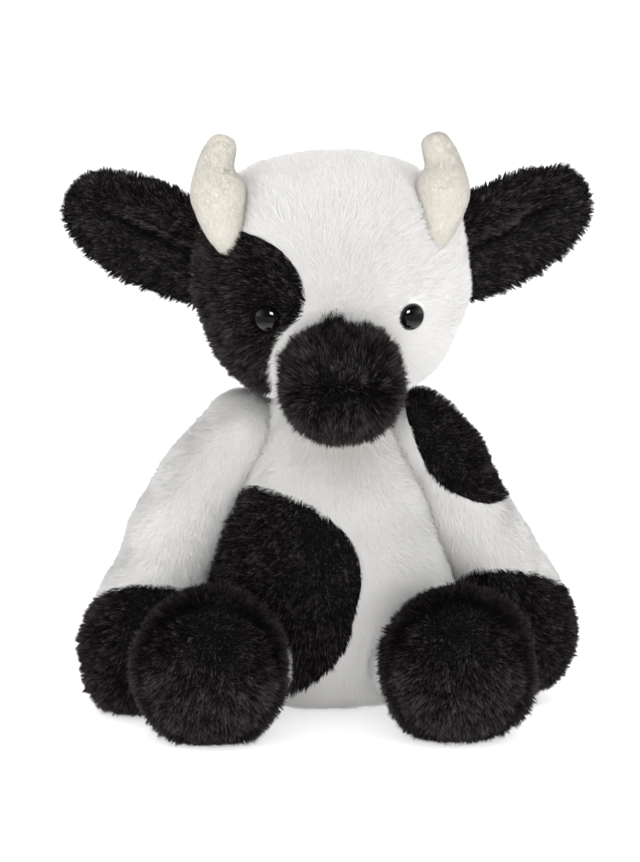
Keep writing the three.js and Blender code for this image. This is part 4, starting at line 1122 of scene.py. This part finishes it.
def dress_tail():
    form = limb([TAIL_ROOT, *TAIL_LINE], TAIL_RADIUS, TAIL_RADIUS, [(0, 1), (1, 0.9)], 2.6, 0.2,
                rings=24, around=32, swell=-1.8)
    pelt("tail_pelt", form, WHITE_PELT, "tail", "white_fur", ["tail_skin"])
    place, normal = roots_on(form, WHITE_FUR["density"], open_points(form, BODY))
    pile("tail_pile", place, normal, np.array([0, 0.6, -0.8]), {**WHITE_FUR, "length": 5}, "tail")
    start, end = np.array(TAIL_LINE[-1], float), np.array(TUFT_TIP, float)
    tuft = stuffed([start - (end - start) * 0.4, start, end], TUFT_RADIUS, TUFT_RADIUS,
                   [(0, 0.85), (0.6, 1), (1, 0.7)], 2, rings=24, around=36, swell=-4)
    pelt("tail_tuft_pelt", tuft, BLACK_PELT, "tail", "black_fur", ["tail_tuft"])
    place, normal = roots_on(tuft, BLACK_FUR["density"] * 1.5)
    pile("tail_tuft_pile", place, normal, np.array([0, 1, -0.15]),
         {**BLACK_FUR, "length": 11, "lift": 32}, "tail")


# What stays from the part as it is: the eyes' washers and the bag of pellets

def finish_hidden_nodes():
    kept = {"eye_left_washer": WASHER_PLASTIC, "eye_right_washer": WASHER_PLASTIC, "pellet_bag": MUSLIN}
    for name, mat in kept.items():
        node = frame["nodes"][name]
        for slot in node.material_slots:
            slot.material = mat


dress_body()
dress_head()
dress_muzzle()
dress_tail()
for side_name in SIDES:
    dress_arm(side_name)
    dress_leg(side_name)
    dress_eye(side_name)
    dress_horn(side_name)
    dress_ear(side_name)
finish_hidden_nodes()

# Stage, in metres: a pale floor, white all round, and soft lamps
FLOOR_HALF = 4.0
FLOOR_TONE = 0.93
FLOOR_GLOW = 0.55
# The floor's glow for rays other than the camera's lights the object from below, though the floor is no
# lamp
FLOOR_LIGHTING_GLOW = 0.25
FLOOR_MIRRORED_NEAR = 0.14
FLOOR_MIRRORED_FAR = 0.4
FLOOR_MIRRORED_TONE = 0.02
FILL = 1.0
MIRRORED_FRONT = dict(From_Min=-0.75, From_Max=-0.1, To_Min=0.03)
MIRRORED_OVERHEAD = dict(From_Min=0.7, From_Max=0.15, To_Min=0.05)
LAMPS = {
    "key": dict(place=(0.1, -1.9, 1.1), size=(1.0, 0.7), power=4),
    "top": dict(place=(0, 0.4, 1.8), size=(1.4, 1.2), power=7),
    "front": dict(place=(-0.1, -2.2, 0.2), size=(1.2, 0.8), power=13),
    "fill_left": dict(place=(-1.5, -1.1, 0.35), size=(0.9, 0.9), power=8),
    "fill_right": dict(place=(1.5, -1.1, 0.35), size=(0.9, 0.9), power=8),
    "glint": dict(place=(0.2, -1.7, 1.1), size=(0.8, 0.66), power=36, only_gloss=True)}
LAMP_TARGET = (0, 0, 0.13)

# Camera: about 11 degrees down with a long lens, and half a millimetre to a pixel at the cow
PICTURE_HEIGHT = 862
MM_PER_PIXEL = 0.5
ELEVATION = math.radians(11)
DISTANCE = 3.0  # metres
TARGET = (-5.5, -20, 142.7)
SENSOR = 24

scene = bpy.context.scene


def make_floor():
    h = FLOOR_HALF
    mesh = bpy.data.meshes.new("floor")
    mesh.from_pydata([(-h, -h, 0), (h, -h, 0), (h, h, 0), (-h, h, 0)], [], [[0, 1, 2, 3]])
    obj = add_object("floor", mesh)

    def build(shader, node, link):
        settle(shader, Roughness=0.9, Specular_IOR_Level=0.1, Emission_Color=(1, 1, 1, 1))
        rays = node("ShaderNodeLightPath")

        # Gloss on the object mirrors the white floor near it and the dim room further off
        place = node("ShaderNodeTexCoord")
        distance = node("ShaderNodeVectorMath", operation="LENGTH")
        far = node("ShaderNodeMapRange", From_Min=FLOOR_MIRRORED_NEAR, From_Max=FLOOR_MIRRORED_FAR)
        dim = node("ShaderNodeMath", operation="MULTIPLY")
        tone = node("ShaderNodeMix", data_type="RGBA", A=(*[FLOOR_TONE] * 3, 1),
                    B=(*[FLOOR_MIRRORED_TONE] * 3, 1))
        link(place.outputs["Object"], distance.inputs[0])
        link(distance.outputs["Value"], far.inputs["Value"])
        link(far.outputs["Result"], dim.inputs[0])
        link(rays.outputs["Is Glossy Ray"], dim.inputs[1])
        link(dim.outputs[0], tone.inputs["Factor"])
        link(tone.outputs["Result"], shader.inputs["Base Color"])
        # White to the camera, and a fainter glow for every other ray, which lights the object from below
        seen = node("ShaderNodeMath", operation="ADD", use_clamp=True)
        glow = node("ShaderNodeMapRange", To_Min=FLOOR_LIGHTING_GLOW, To_Max=FLOOR_GLOW)
        link(rays.outputs["Is Camera Ray"], seen.inputs[0])
        link(rays.outputs["Is Transmission Ray"], seen.inputs[1])
        link(seen.outputs[0], glow.inputs["Value"])
        link(glow.outputs["Result"], shader.inputs["Emission Strength"])

    mesh.materials.append(material("floor", build))


def make_world():
    """White for camera and glass rays, and a soft even fill for the object itself.
    Mirror rays see it dim towards the front and overhead, as in a studio."""
    world = bpy.data.worlds.new("studio")
    scene.world = world
    world.use_nodes = True
    tree = world.node_tree
    node, link = node_maker(tree), tree.links.new
    background = tree.nodes["Background"]
    background.inputs["Color"].default_value = (1, 1, 1, 1)
    rays = node("ShaderNodeLightPath")
    parts = node("ShaderNodeSeparateXYZ")
    behind = node("ShaderNodeMapRange", **MIRRORED_FRONT)
    low = node("ShaderNodeMapRange", **MIRRORED_OVERHEAD)
    mirrored_tone = node("ShaderNodeMath", operation="MULTIPLY")
    gloss = node("ShaderNodeMix", A=FILL)
    seen = node("ShaderNodeMath", operation="ADD", use_clamp=True)
    strength = node("ShaderNodeMix", B=1.0)
    link(node("ShaderNodeTexCoord").outputs["Generated"], parts.inputs["Vector"])
    link(parts.outputs["Y"], behind.inputs["Value"])
    link(parts.outputs["Z"], low.inputs["Value"])
    link(behind.outputs["Result"], mirrored_tone.inputs[0])
    link(low.outputs["Result"], mirrored_tone.inputs[1])
    link(mirrored_tone.outputs[0], gloss.inputs["B"])
    link(rays.outputs["Is Glossy Ray"], gloss.inputs["Factor"])
    link(rays.outputs["Is Camera Ray"], seen.inputs[0])
    link(rays.outputs["Is Transmission Ray"], seen.inputs[1])
    link(gloss.outputs["Result"], strength.inputs["A"])
    link(seen.outputs[0], strength.inputs["Factor"])
    link(strength.outputs["Result"], background.inputs["Strength"])


def make_lamp(name, place, size, power, only_gloss=False):
    """The softbox seen in the eyes lights nothing else, and the others aren't seen in them."""
    data = bpy.data.lights.new(name, "AREA")
    data.shape = "RECTANGLE"
    data.size, data.size_y = size
    data.energy = power
    obj = add_object(name, data)
    obj.location = place
    obj.rotation_euler = (Vector(LAMP_TARGET) - Vector(place)).to_track_quat("-Z", "Y").to_euler()
    obj.visible_glossy = only_gloss
    obj.visible_diffuse = not only_gloss


def make_camera():
    data = bpy.data.cameras.new("camera")
    data.sensor_fit = "VERTICAL"
    data.sensor_height = SENSOR
    data.lens = SENSOR * DISTANCE / (PICTURE_HEIGHT * MM_PER_PIXEL * MM)
    obj = add_object("camera", data)
    backwards = Vector((0, -math.cos(ELEVATION), math.sin(ELEVATION)))
    obj.location = Vector((TARGET + ORIGIN) * MM) + DISTANCE * backwards
    obj.rotation_euler = (math.pi / 2 - ELEVATION, 0, 0)
    scene.camera = obj


make_floor()
make_world()
for lamp_name, lamp in LAMPS.items():
    make_lamp(lamp_name, **lamp)
make_camera()
scene.view_settings.view_transform = "Standard"
